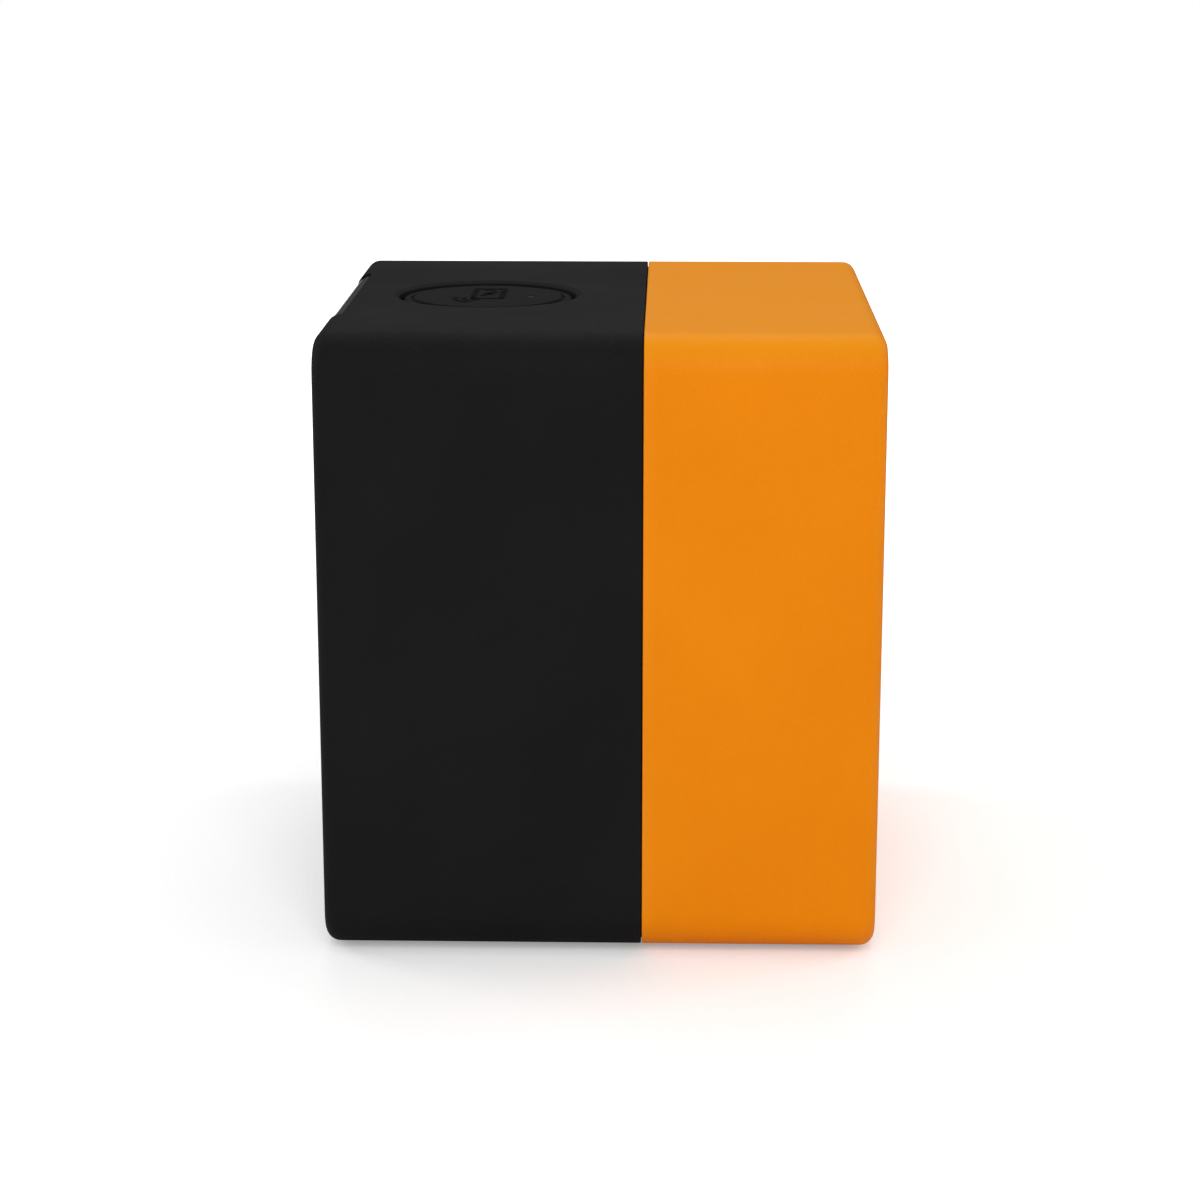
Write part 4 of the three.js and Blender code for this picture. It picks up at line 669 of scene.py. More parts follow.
# %% metals
def metal(name, deep, pale, rough, stretch, depth=0.000008):
    """Two shades along the lay that the metal took when it was drawn, rolled or turned."""
    material, tree, shader = new_finish(name, Metallic=1.0)
    lay = placed(tree, LAY, Stretch=stretch)
    tarnish = placed(tree, DRIFT, Size=0.008).outputs["Amount"]
    colour = blended(tree, lay.outputs["Streak"], deep, pale)
    colour = blended(tree, maths(tree, "MULTIPLY", tarnish, 0.35), colour, deep)
    tree.links.new(colour, shader.inputs["Base Color"])
    tree.links.new(ramp(tree, lay.outputs["Streak"], 0, 1, rough + 0.07, rough - 0.05),
                   shader.inputs["Roughness"])
    bumped(tree, shader, lay.outputs["Height"], depth)
    return material


FINISH["nickel"] = metal("nickel", (0.50, 0.49, 0.46), (0.62, 0.61, 0.58), 0.26, (1, 6, 1))
FINISH["steel"] = metal("steel", (0.27, 0.27, 0.28), (0.38, 0.38, 0.39), 0.34, (4, 1, 4))
FINISH["copper"] = metal("copper", (0.52, 0.22, 0.12), (0.68, 0.32, 0.18), 0.32, (1, 1, 5))
FINISH["aluminium"] = metal("aluminium", (0.40, 0.41, 0.42), (0.52, 0.53, 0.54), 0.4, (6, 1, 6))
FINISH["gilt"] = metal("gilt", (0.66, 0.42, 0.13), (0.80, 0.54, 0.20), 0.25, (1, 4, 1))
print("metals added:", len(FINISH))

# %% [markdown]
# ### Windows, lenses and electronics
# The window is smoked, so it is a clear plastic with a deep tint and a polished face. The lamp
# lens is milky: light spreads inside it, which a rough transmission gives at no cost. The
# circuit boards get their copper tracks under the green lacquer from a brick pattern.

# %% window and lens
material, tree, shader = new_finish(
    "smoked_window", Metallic=0.0, Transmission_Weight=0.9, IOR=1.25, Specular_IOR_Level=0.3
)
amount = placed(tree, DRIFT, Size=0.02).outputs["Amount"]
tree.links.new(blended(tree, amount, (0.032, 0.034, 0.037), (0.042, 0.044, 0.047)),
               shader.inputs["Base Color"])
tree.links.new(ramp(tree, amount, 0, 1, 0.05, 0.09), shader.inputs["Roughness"])
bumped(tree, shader, placed(tree, GRAIN, Cell=350.0).outputs["Height"], 0.000001)
FINISH["smoked_window"] = material

material, tree, shader = new_finish(
    "frosted_lens", Metallic=0.0, Transmission_Weight=0.35, IOR=1.45
)
grain = placed(tree, GRAIN, Cell=2200.0)
amount = placed(tree, DRIFT, Size=0.01).outputs["Amount"]
tree.links.new(blended(tree, amount, (0.74, 0.73, 0.69), (0.80, 0.79, 0.76)),
               shader.inputs["Base Color"])
tree.links.new(ramp(tree, amount, 0, 1, 0.36, 0.44), shader.inputs["Roughness"])
bumped(tree, shader, grain.outputs["Height"], 0.00001)
FINISH["frosted_lens"] = material

# %% circuit board and cell wrap
material, tree, shader = new_finish("circuit_board", Coat_Weight=0.3, Coat_Roughness=0.2)
spot = node(tree, "TexCoord").outputs["Object"]
turn = node(tree, "Mapping", Vector=spot, Scale=(240.0, 240.0, 240.0))
tracks = node(tree, "TexBrick", Vector=turn.outputs[0], Scale=1.0, Mortar_Size=0.06)
tracks.inputs["Color1"].default_value = (0.006, 0.060, 0.022, 1)
tracks.inputs["Color2"].default_value = (0.008, 0.075, 0.028, 1)
tracks.inputs["Mortar"].default_value = (0.020, 0.130, 0.050, 1)
amount = placed(tree, DRIFT, Size=0.012).outputs["Amount"]
green = blended(tree, maths(tree, "MULTIPLY", amount, 0.4), tracks.outputs["Color"],
                (0.004, 0.045, 0.018))
tree.links.new(green, shader.inputs["Base Color"])
tree.links.new(ramp(tree, amount, 0, 1, 0.34, 0.5), shader.inputs["Roughness"])
bumped(tree, shader, tracks.outputs["Fac"], 0.00003)
FINISH["circuit_board"] = material

material, tree, shader = new_finish("cell_wrap", Coat_Weight=0.2, Coat_Roughness=0.25)
grain = placed(tree, GRAIN, Cell=300.0)
amount = placed(tree, DRIFT, Size=0.02).outputs["Amount"]
tree.links.new(blended(tree, amount, (0.010, 0.075, 0.24), (0.014, 0.10, 0.30)),
               shader.inputs["Base Color"])
tree.links.new(ramp(tree, amount, 0, 1, 0.3, 0.42), shader.inputs["Roughness"])
bumped(tree, shader, grain.outputs["Height"], 0.0001, 0.5)
FINISH["cell_wrap"] = material

# %% the display's glass and its lit strokes
material, tree, shader = new_finish("display_glass", Coat_Weight=0.5, Coat_Roughness=0.08)
grain = placed(tree, GRAIN, Cell=5000.0)
amount = placed(tree, DRIFT, Size=0.03).outputs["Amount"]
tree.links.new(blended(tree, amount, (0.010, 0.013, 0.016), (0.014, 0.017, 0.020)),
               shader.inputs["Base Color"])
tree.links.new(ramp(tree, grain.outputs["Height"], 0.4, 1.2, 0.2, 0.35), shader.inputs["Roughness"])
FINISH["display_glass"] = material

material, tree, shader = new_finish("display_light", Emission_Strength=12.0)
amount = placed(tree, DRIFT, Size=0.006).outputs["Amount"]
lit = blended(tree, amount, (0.55, 0.80, 0.86), (0.66, 0.88, 0.93))
tree.links.new(lit, shader.inputs["Base Color"])
tree.links.new(lit, shader.inputs["Emission Color"])
FINISH["display_light"] = material
print("finishes:", len(FINISH))

# %% the carried-over solids take their finishes by slot
SLOT_OF = {part["node"]: part["material_slot"] for part in frame["record"]["subparts"]}
for name, solid in frame["nodes"].items():
    for place in solid.material_slots:
        place.material = FINISH[SLOT_OF[name]]
print("solids with a finish:", len(SLOT_OF))

# %% [markdown]
# ## The two tubs of the case
# Each half is a tub with its open side on the seam. It could be a cube with a Solidify
# modifier, but the front wall is thicker than the sides. So the outside is one bar with its
# four long edges and its end rounded, the inside is a second bar, and the first is cut by the
# second. The front tub keeps a thin lip that slides into the rear one and closes the seam.

# %% sizes of the case
WIDTH, TOP, UNDERSIDE = 180, 193, 1.5
FRONT, REAR, SEAM, GAP = -85, 85, 13, 0.3
CORNER, EDGE = 12, 4.5
MIDDLE = (TOP + UNDERSIDE) / 2
POSTS = [(x, z) for z in (11.5, 183) for x in (-80, 80)]
FEET = {"front_left": (-64, -59), "front_right": (64, -59), "rear_left": (-64, 59),
        "rear_right": (64, 59)}


def section(inset):
    """The case's outline, smaller by `inset` all round."""
    height = TOP - UNDERSIDE - 2 * inset
    return (0, MIDDLE, WIDTH - 2 * inset, height, CORNER - inset)


def posts(near, far):
    """Four corner posts and the ribs that tie them to the side walls, as a list of tools."""
    parts = []
    for x, z in POSTS:
        parts.append(bar("post", (x, z, 9, 9, 4.5), near, far, 4))
        rib = (x + math.copysign(4.5, x), z, 9, 2, 0)
        parts.append(bar("rib", rib, near + 1, far - 1))
    return parts


def feet_recesses(side):
    """Shallow round pockets in the underside for the feet."""
    spots = [place for name, place in FEET.items() if name.startswith(side)]
    profile = [(0, 0.5), (9.7, 0.5), (9.7, 1.5), (9.3, 1.9), (9.3, 2.7), (0, 2.7)]
    return [turned("cutter", profile, (x, y, 0), steps=48) for x, y in spots]


# %% the front tub and its walls
front = bar("front_tub", section(0), FRONT, SEAM - GAP / 2, 14, EDGE, 0.35, steps=7)
lip = bar("lip", section(1.8), SEAM - 3, SEAM + 4, 14)
carve(front, lip, way="UNION")
carve(front, bar("inside", section(3), FRONT + 7, SEAM + 9, 12))
carve(front, *posts(FRONT + 6, SEAM - GAP / 2), way="UNION")
carve(front, *feet_recesses("front"))
print("front tub:", len(front.data.polygons), "faces")

# %% [markdown]
# The window's pocket bends over the upper front edge. Its cutter is a block with a second,
# rounded block taken out of its inner corner, which leaves an even depth round the bend.

# %% the bent strip that the window and its pocket share
def bent_strip(name, half_width, lower_end, upper_end, outer, inner):
    """A strip over the upper front edge, between two depths below the case's surface."""
    def quarter_block(inset, label, wide):
        low = lower_end if label == name else lower_end - 30
        back = upper_end if label == name else upper_end + 30
        top = TOP - inset
        block = bar(label, (0, (low + top) / 2, 2 * wide, top - low, 0), FRONT + inset, back)
        if inset < EDGE:
            edit(block)
            corner = Vector((0, (FRONT + inset) * MM, top * MM))

            def bend(edge):
                spots = [v.co for v in edge.verts]
                return all(abs(s.y - corner.y) < 1e-6 and abs(s.z - corner.z) < 1e-6 for s in spots)

            choose("edges", bend)
            bpy.ops.mesh.bevel(offset=(EDGE - inset) * MM, segments=10, affect="EDGES")
            bpy.ops.object.mode_set(mode="OBJECT")
        return block

    strip = quarter_block(outer, name, half_width)
    core = quarter_block(inner, "core", half_width + 5)
    carve(strip, core)
    edit(strip)

    def lower_corner(edge):
        spots = [v.co for v in edge.verts]
        low = all(abs(s.z - lower_end * MM) < 1e-6 for s in spots)
        return low and abs(spots[0].x - spots[1].x) < 1e-6

    choose("edges", lower_corner)
    bpy.ops.mesh.bevel(offset=3 * MM, segments=6, affect="EDGES")
    bpy.ops.object.mode_set(mode="OBJECT")
    return strip


# %% openings in the front tub
PAD_Y, PAD_FACE = -38, 192.1
carve(front, bent_strip("window_pocket", 45.3, 142.7, -80.2, -3, 2.8))
carve(front, hole((0, 165, 76, 34, 2), FRONT + 2.8, FRONT + 8, lip=0))
for x in (-67.5, 67.5):
    carve(front, hole((x, 165, 16.5, 16.5, 8.25), FRONT, FRONT + 8, lip=0.7, steps=5))
panel_middle, panel_size = drawing("front_panel")
seat = (0, panel_middle.z, panel_size.x + 0.6, panel_size.z + 0.6, 7.3)
carve(front, hole(seat, FRONT, FRONT + 5.2, lip=0.6, steps=4))
ledge = (0, panel_middle.z, panel_size.x - 8, panel_size.z - 8, 3)
carve(front, hole(ledge, FRONT + 5, FRONT + 8, lip=0))
print("front openings cut:", len(front.data.polygons), "faces")

# %% [markdown]
# The pad's recess is turned: a rim that is softened where it leaves the top, a slope that
# leads a phone in, and a straight wall down to a floor. The floor is lower than the underside
# of the top wall, so a boss is added first.

# %% the well for the charging pad
boss = turned("boss", [(0, 187.2), (31.6, 187.2), (31.6, 191), (0, 191)], (0, PAD_Y, 0), steps=64)
carve(front, boss, way="UNION")
WELL = [(0, 189.5), (28.6, 189.5), (28.6, 191.9), (28.75, 192.12), (29.0, 192.27)]
WELL += [(30.05, 192.82), (30.45, 192.96), (30.9, 193.0), (30.9, 194), (0, 194)]
carve(front, turned("cutter", WELL, (0, PAD_Y, 0), steps=128))
carve(front, turned("cutter", [(0, 185), (1.5, 185), (1.5, 190), (0, 190)],
                    (0, PAD_Y + 13.7, 0), steps=24))
hand_over(front, [FINISH["black_case"]], "case", "black_case", "front_shell")

# %% the rear tub
rear = bar("rear_tub", section(0), SEAM + GAP / 2, REAR, 14, 0.35, EDGE, steps=7)
carve(rear, bar("inside", section(3), SEAM - 1, REAR - 5, 12))
carve(rear, bar("groove", section(1.5), SEAM - 1, SEAM + 4.3, 14))
carve(rear, *posts(SEAM + 5, REAR - 4), way="UNION")
carve(rear, *feet_recesses("rear"))
for x, z in POSTS:
    carve(rear, hole((x, z, 6.5, 6.5, 3.25), REAR, SEAM + 10, lip=0.8, steps=4))
    carve(rear, hole((x, z, 4.3, 4.3, 2.15), SEAM + 11, SEAM - 1, lip=0))
print("rear tub:", len(rear.data.polygons), "faces")

# %% its grille seat and the intake slots
grille_middle, grille_size = drawing("exhaust_grille")
seat = (0, grille_middle.z, grille_size.x + 0.6, grille_size.z + 0.6, 6.3)
carve(rear, hole(seat, REAR, REAR - 3.3, lip=0.6, steps=4))
opening = (0, grille_middle.z, grille_size.x - 6, grille_size.z - 6, 3)
carve(rear, hole(opening, REAR - 3, REAR - 6, lip=0))
slot_cutter = hole((-48, 50, 3.2, 34, 1.6), REAR, REAR - 6, lip=0.6, steps=3, corner_steps=6)
slots = [slot_cutter] + [copied(slot_cutter, "slot", 8 * n, 0, 0) for n in range(1, 13)]
carve(rear, gathered("intake", slots))
hand_over(rear, [FINISH["orange_case"]], "case", "orange_case", "rear_shell")

# %% [markdown]
# ## The charging pad
# A soft disc lies in the well, a hair below the top so a phone is held by the rim. Its face
# carries a dark printed sign: a phone with waves beside it, which is the plain way to say
# that a phone charges here. Print could be painted in the material, but a thin raised layer
# gives it its own edge and finish from every side.

# %% flat signs made of strokes
def stroke(x, z, length, width, turn=0.0, depth=0.12, face=0.0):
    """A short bar with round ends, on a face that looks to the front."""
    mark = bar("stroke", (0, 0, length, width, width / 2), -depth, 0.05, 4)
    mark.rotation_euler = (0, -math.radians(turn), 0)
    mark.location = (x * MM, face * MM, z * MM)
    take(mark)
    return settle()


def ring_stroke(x, z, radius, width, start=0, sweep=360, depth=0.12, face=0.0):
    """A ring, or a part of one that starts at an angle, on a face that looks to the front."""
    inner, outer = radius - width / 2, radius + width / 2
    profile = [(inner, -0.05), (outer, -0.05), (outer, depth), (inner, depth), (inner, -0.05)]
    steps = max(8, int(sweep / 9))
    start_clean()
    mark = turned("ring", profile, (0, 0, 0), "front", steps, sweep)
    if sweep < 360:
        edit(mark)
        choose("edges", lambda edge: len(edge.link_faces) == 1)
        bpy.ops.mesh.fill_holes(sides=0)
        bpy.ops.mesh.select_all(action="SELECT")
        bpy.ops.mesh.normals_make_consistent(inside=False)
        bpy.ops.object.mode_set(mode="OBJECT")
    mark.rotation_euler = (0, -math.radians(start), 0)
    mark.location = (x * MM, face * MM, z * MM)
    take(mark)
    return settle()


def laid_flat(piece, x, y, z, turn=0.0):
    """Tips a sign from facing the front to facing up, and puts it in its place."""
    take(piece)
    piece.rotation_euler = (-math.pi / 2, 0, math.radians(turn))
    piece.location = (x * MM, y * MM, z * MM)
    return settle()


# %% the disc
PAD = [(0, 189.8), (26.4, 189.8), (26.9, 190.1)]
PAD += quarter(26.4, PAD_FACE - 0.95, 0.5, 0, 90)
PAD += [(24.9, PAD_FACE - 0.45), (24.7, PAD_FACE - 1.0), (24.1, PAD_FACE - 1.0)]
PAD += [(23.95, PAD_FACE - 0.3), (23.6, PAD_FACE), (12, PAD_FACE), (0, PAD_FACE)]
pad = turned("charging_disc", PAD, (0, PAD_Y, 0), steps=128)
carve(pad, turned("cutter", [(0, 188), (1.5, 188), (1.5, 194), (0, 194)],
                  (0, PAD_Y + 13.7, 0), steps=24))

# the phone: a frame of four strokes and a speaker slot, then three waves
sign = [stroke(0, 15.6, 10.4, 1.9), stroke(0, -5.6, 10.4, 1.9), stroke(0, 12.9, 3.4, 0.9)]
sign += [stroke(side * 4.6, 5, 21.2, 1.9, 90) for side in (-1, 1)]
sign += [stroke(*place, 2.0, turn) for place, turn in
         (((0.9, 7.2, 5.6), 62), ((-0.9, 2.8, 5.6), 62), ((0, 5, 3.8), 12))]
sign += [ring_stroke(0, -5.5, radius, 1.5, 235, 70) for radius in (4.5, 7.4, 10.3)]
sign = laid_flat(gathered("phone_sign", sign), 0, PAD_Y, PAD_FACE, 90)
sign.data.materials.append(FINISH["dark_print"])
pad.data.materials.append(FINISH["pad_rubber"])
pad = gathered("charging_disc", [pad, sign])
hand_over(pad, [], "case", "pad_rubber", "charging_pad")

# %% the light pipe
PIPE = [(0, 187.5), (1.1, 187.5), (1.2, 187.7)] + quarter(0.9, 191.75, 0.3, 0, 90, 4) + [(0, 192.1)]
pipe = turned("charging_light", PIPE, (0, PAD_Y + 13.7, 0), steps=32)
hand_over(pipe, [FINISH["smoked_window"]], "case", "frosted_lens", "pad_light_pipe")

# %% [markdown]
# ## Rear grille, feet and screws
# The grille is a plate with two columns of slots. One slot's cutter is made and copied, and
# the whole set is taken out at once.

# %% the grille
grille_y = (82, 84.2)
grille = bar("rear_grille", (0, grille_middle.z, 104, 66, 6), *grille_y, 8, 0.2, 0.7)
first = hole((-23, grille_middle.z - 24.5, 42, 3.4, 1.7), 84.2, 81, lip=0.5, corner_steps=6)
rows = [first]
for row in range(8):
    for column in (0, 46):
        if row or column:
            rows.append(copied(first, "slot", column, 0, 7 * row))
carve(grille, gathered("slots", rows))
hand_over(grille, [FINISH["dark_plastic"]], "case", "dark_plastic", "exhaust_grille")

# %% a foot, turned at each of its four places
FOOT = [(0, 0.5), (3.2, 0.5), (3.7, 0.05), (4.2, 0.0), (7.9, 0.0)] + quarter(8.2, 0.8, 0.8, -90, 0)
FOOT += [(9.0, 2.2), (8.8, 2.4), (0, 2.4)]
for name, (x, y) in FEET.items():
    foot = turned(f"rubber_foot_{name}", FOOT, (x, y, 0), steps=64)
    hand_over(foot, [FINISH["soft_rubber"]], "case", "soft_rubber", f"foot_{name}")

# %% a screw: pan head with a hexagon socket, and a shank with ridges
THREAD = [(1.9 - 0.3 * (n % 2), -10 - 0.5 * n) for n in range(31)]
SCREW = [(0, -26.2), (1.2, -26.2)] + THREAD[::-1] + [(1.9, 0.0), (2.8, 0.0), (3.0, 0.25)]
SCREW += quarter(2.2, 1.6, 0.8, 0, 90, 5) + [(0, 2.4)]
for number, (x, z) in enumerate(POSTS, 1):
    screw = turned(f"long_screw_{number}", SCREW, (x, 23.3, z), "rear", 32)
    start_clean()
    bpy.ops.mesh.primitive_cylinder_add(
        vertices=6, radius=1.25 * MM, depth=4 * MM,
        location=(x * MM, 26.5 * MM, z * MM), rotation=(math.pi / 2, 0, 0),
    )
    carve(screw, settle("key"))
    hand_over(screw, [FINISH["steel"]], "case", "steel", f"case_screw_{number}")

# %% [markdown]
# ## The control panel
# One plate with an opening for every piece that shows through it. A real panel is moulded
# with its openings, and each has a small radius, so every opening here is made by the same
# softened cutter. The rows and columns come from the solids behind them. The plate is first
# divided along the middle of every row: a face with many holes in it can close over one of
# them, while a strip with notches along its edges can't.

# %% places on the panel
FACE = panel_middle.y - panel_size.y / 2
PLATE_BACK = panel_middle.y + panel_size.y / 2
OUTLET_X = [drawing(f"ac_outlet_{side}")[0].x for side in ("left", "right")]
OUTLET_Z = drawing("ac_outlet_left")[0].z
USB_A = [drawing(f"usb_a_port_{n}")[0] for n in (1, 2)]
USB_C = [drawing(f"usb_c_port_{n}")[0] for n in (1, 2)]
KEYS = {name: drawing(name)[0] for name in ("ac_button", "dc_button", "usb_button")}
JACKS = [drawing(f"dc_output_jack_{n}")[0] for n in (1, 2)]
CAR, INLET = drawing("car_socket_contact")[0], drawing("dc_input_jack")[0]
LAMP = drawing("lamp_lens")[0]
COVERS = {"car_socket_cover": (CAR, 16, 10.05, 3.0), "dc_input_cover": (INLET, 10.5, 3.55, 1.5)}
print("panel face at", round(FACE, 2), "outlets at", OUTLET_X, OUTLET_Z)

# %% the plate and its openings
panel = bar("control_panel", (0, panel_middle.z, panel_size.x, panel_size.z, 7), FACE, PLATE_BACK,
            12, 0.6, 0.15)
edit(panel)
for row in (LAMP.z, USB_A[0].z, OUTLET_Z, USB_C[0].z, KEYS["ac_button"].z, CAR.z):
    bpy.ops.mesh.select_all(action="SELECT")
    bpy.ops.mesh.bisect(plane_co=(0, 0, row * MM), plane_no=(0, 0, 1))
bpy.ops.object.mode_set(mode="OBJECT")
THROUGH = PLATE_BACK + 1
openings = [hole((0, LAMP.z, 92.6, 9.6, 4.8), FACE, THROUGH, 0.5)]
openings += [hole((x, OUTLET_Z, 29.6, 29.6, 5.3), FACE, THROUGH, 0.5) for x in OUTLET_X]
openings += [hole((p.x, p.z, 14.2, 7.0, 0.9), FACE, THROUGH, 0.4) for p in USB_A]
openings += [hole((p.x, p.z, 10.0, 4.2, 2.0), FACE, THROUGH, 0.4) for p in USB_C]
openings += [hole((p.x, p.z, 16.5, 9.5, 4.75), FACE, THROUGH, 0.6) for p in KEYS.values()]
openings += [hole((p.x, p.z, 9.8, 9.8, 4.9), FACE, THROUGH, 0.8) for p in JACKS]
openings += [hole((CAR.x, CAR.z, 25, 25, 12.5), FACE + 1, THROUGH, 0, corner_steps=12)]
openings += [hole((INLET.x, INLET.z, 13.4, 13.4, 6.7), FACE + 1, THROUGH, 0)]
carve(panel, *openings)

# %% pockets that the two covers lie in
for middle, radius, _, _ in COVERS.values():
    size = 2 * radius + 0.8
    hinge = middle.z + radius + 4
    disc = hole((middle.x, middle.z, size, size, size / 2), FACE, FACE + 1.4, 0.5, corner_steps=12)
    tab = hole((middle.x, (middle.z + hinge + 2.9) / 2, 10.8, hinge + 2.9 - middle.z, 0.8),
               FACE, FACE + 1.4, 0.4)
    knuckle = bar("knuckle_slot", (middle.x, hinge, 10.8, 3.1, 0), FACE + 1, FACE + 2.65)
    pins = turned("pin_holes", [(0, -6.5), (0.75, -6.5), (0.75, 6.5), (0, 6.5)],
                  (middle.x, FACE + 1.1, hinge), "right", 16)
    carve(panel, disc, tab, knuckle, pins)
print("panel:", len(panel.data.polygons), "faces")

# %% [markdown]
# The panel carries plain signs, printed in pale ink: a wave for alternating current, a line
# over dashes for direct current, a lamp, a plug for charging, and thin frames that show which
# key belongs to which sockets. They are thin strokes that lie on the plate.

# %% printed signs
def frame_line(x, z, width, height, radius, line=0.45):
    """A thin printed frame: a rounded plate with a smaller one taken out."""
    outer = bar("frame", (x, z, width, height, radius), FACE - 0.06, FACE + 0.05, 6)
    inner = (x, z, width - 2 * line, height - 2 * line, radius - line)
    return carve(outer, bar("inner", inner, FACE - 1, FACE + 1, 6))


def wave_sign(x, z, face, depth=0.06):
    """Two half circles, one up and one down: alternating current."""
    kind = {"depth": depth, "face": face}
    return [ring_stroke(x - 1.5, z, 1.5, 0.55, 0, 180, **kind),
            ring_stroke(x + 1.5, z, 1.5, 0.55, 180, 180, **kind)]


def direct_sign(x, z, face, depth=0.06):
    """A line over three dashes: direct current."""
    kind = {"depth": depth, "face": face}
    dashes = [stroke(x + n * 2.2, z - 0.8, 1.5, 0.55, **kind) for n in (-1, 0, 1)]
    return [stroke(x, z + 0.8, 6, 0.55, **kind)] + dashes


def lamp_sign(x, z, face, depth=0.06):
    """A disc with rays round it."""
    kind = {"depth": depth, "face": face}
    rays = []
    for turn in range(0, 360, 45):
        ray_x = x + 3.3 * math.cos(math.radians(turn))
        ray_z = z + 3.3 * math.sin(math.radians(turn))
        rays.append(stroke(ray_x, ray_z, 1.3, 0.5, turn, **kind))
    return rays + [ring_stroke(x, z, 1.6, 0.55, **kind)]


def power_sign(x, z, face, depth=0.06):
    """A ring that is open at the top, with a line through the opening."""
    kind = {"depth": depth, "face": face}
    return [ring_stroke(x, z, 2.6, 0.6, 125, 290, **kind), stroke(x, z + 2.1, 3.0, 0.6, 90, **kind)]


def link_sign(x, z, face, depth=0.06):
    """A plug on its lead: a body, two pins and a line."""
    kind = {"depth": depth, "face": face}
    pins = [stroke(x + side * 0.8, z + 2.3, 1.4, 0.45, 90, **kind) for side in (-1, 1)]
    return pins + [stroke(x, z + 0.6, 2.6, 2.0, **kind), stroke(x, z - 1.5, 2.4, 0.45, 90, **kind)]


def bolt_sign(x, z):
    """A bolt made of two strokes, for the charging inlet."""
    kind = {"depth": 0.06, "face": FACE}
    return [stroke(x - 0.35, z + 1.1, 2.9, 0.6, 62, **kind), stroke(x, z, 2.0, 0.6, 12, **kind),
            stroke(x + 0.35, z - 1.1, 2.9, 0.6, 62, **kind)]


outlet_x = sum(OUTLET_X) / 2
usb_x = (USB_A[0].x + USB_A[1].x) / 2
usb_z = (USB_A[0].z + USB_C[0].z) / 2
jack_x = sum(p.x for p in JACKS) / 2
prints = [frame_line(outlet_x, OUTLET_Z, 68, 35.5, 6), frame_line(usb_x, usb_z, 44, 35.5, 6)]
prints += [frame_line(jack_x, JACKS[0].z, 34, 18, 6)]
prints += link_sign(usb_x, usb_z, FACE)
prints += direct_sign(jack_x, JACKS[0].z + 13.2, FACE)
prints += bolt_sign(INLET.x + 14.6, INLET.z)
prints += [stroke(x, y, length, 0.45, turn, depth=0.06, face=FACE) for x, y, length, turn in (
    (outlet_x, KEYS["ac_button"].z + 6.4, 3.4, 90),
    (usb_x, KEYS["usb_button"].z + 6.4, 3.4, 90),
)]
prints = gathered("panel_signs", prints)
hand_over(prints, [FINISH["pale_print"]], "case", "white_plastic")
hand_over(panel, [FINISH["dark_plastic"]], "case", "dark_plastic", "front_panel")

# %% [markdown]
# ## Push keys
# A key is a cap, a flange behind the wall that stops it from falling out, and a stem that
# presses the switch. The cap's face is slightly dished, so a finger finds it. Caps, flanges
# and stems are joined into one solid, and the sign rides with the cap.

# %% one kind of key for the panel, another for the case
def push_key(name, x, z, width, height, face, wall_back, sign, light=False):
    """A key with its flange, stem and sign, and a small light if asked for."""
    flange = wall_back + GAP
    radius = height / 2
    key = bar(name, (x, z, width, height, radius), face, flange + 0.5, 8, 0.8)
    dish = (x, z, width - 3.2, height - 3.2, radius - 1.6)
    carve(key, hole(dish, face, face + 0.3, lip=0.35, steps=3))
    collar = (x, z, width + 2.6, height + 2.6, radius + 1.3)
    carve(key, bar("flange", collar, flange, flange + 1.2, 8), way="UNION")
    carve(key, bar("stem", (x, z, 3.2, 3.2, 1.6), flange + 1, -70.3, 4), way="UNION")
    key.data.materials.append(FINISH["key_plastic"])
    marks = gathered("sign", sign(x + (1.2 if light else 0), z, face + 0.3))
    marks.data.materials.append(FINISH["pale_print"])
    parts = [key, marks]
    if light:
        lens = stroke(x - 4.6, z, 1.3, 1.3, depth=0.12, face=face + 0.3)
        lens.data.materials.append(FINISH["frosted_lens"])
        parts.append(lens)
    return gathered(name, parts)


def low_link(x, z, face):
    """The plug sign, set a little lower so that it looks centred on the key."""
    return link_sign(x, z - 0.2, face)


PROUD = 0.7
for name, sign in (("ac_button", wave_sign), ("dc_button", direct_sign), ("usb_button", low_link)):
    spot = KEYS[name]
    key = push_key(name.replace("_button", "_key"), spot.x, spot.z, 16, 9, FACE - PROUD,
                   PLATE_BACK, sign, light=True)
    hand_over(key, [], name, "key_plastic", name)
for name, sign in (("power_button", power_sign), ("lamp_button", lamp_sign)):
    spot = drawing(name)[0]
    key = push_key(name.replace("_button", "_key"), spot.x, spot.z, 16, 16, FRONT + 0.3,
                   FRONT + 7, sign)
    hand_over(key, [], name, "key_plastic", name)

# %% [markdown]
# ## Outlets and their shutters
# The outlet's face has two upright slots of different height and a round earth hole, each
# with a lead-in for the blades. Behind the face slides a shutter with its own two windows.

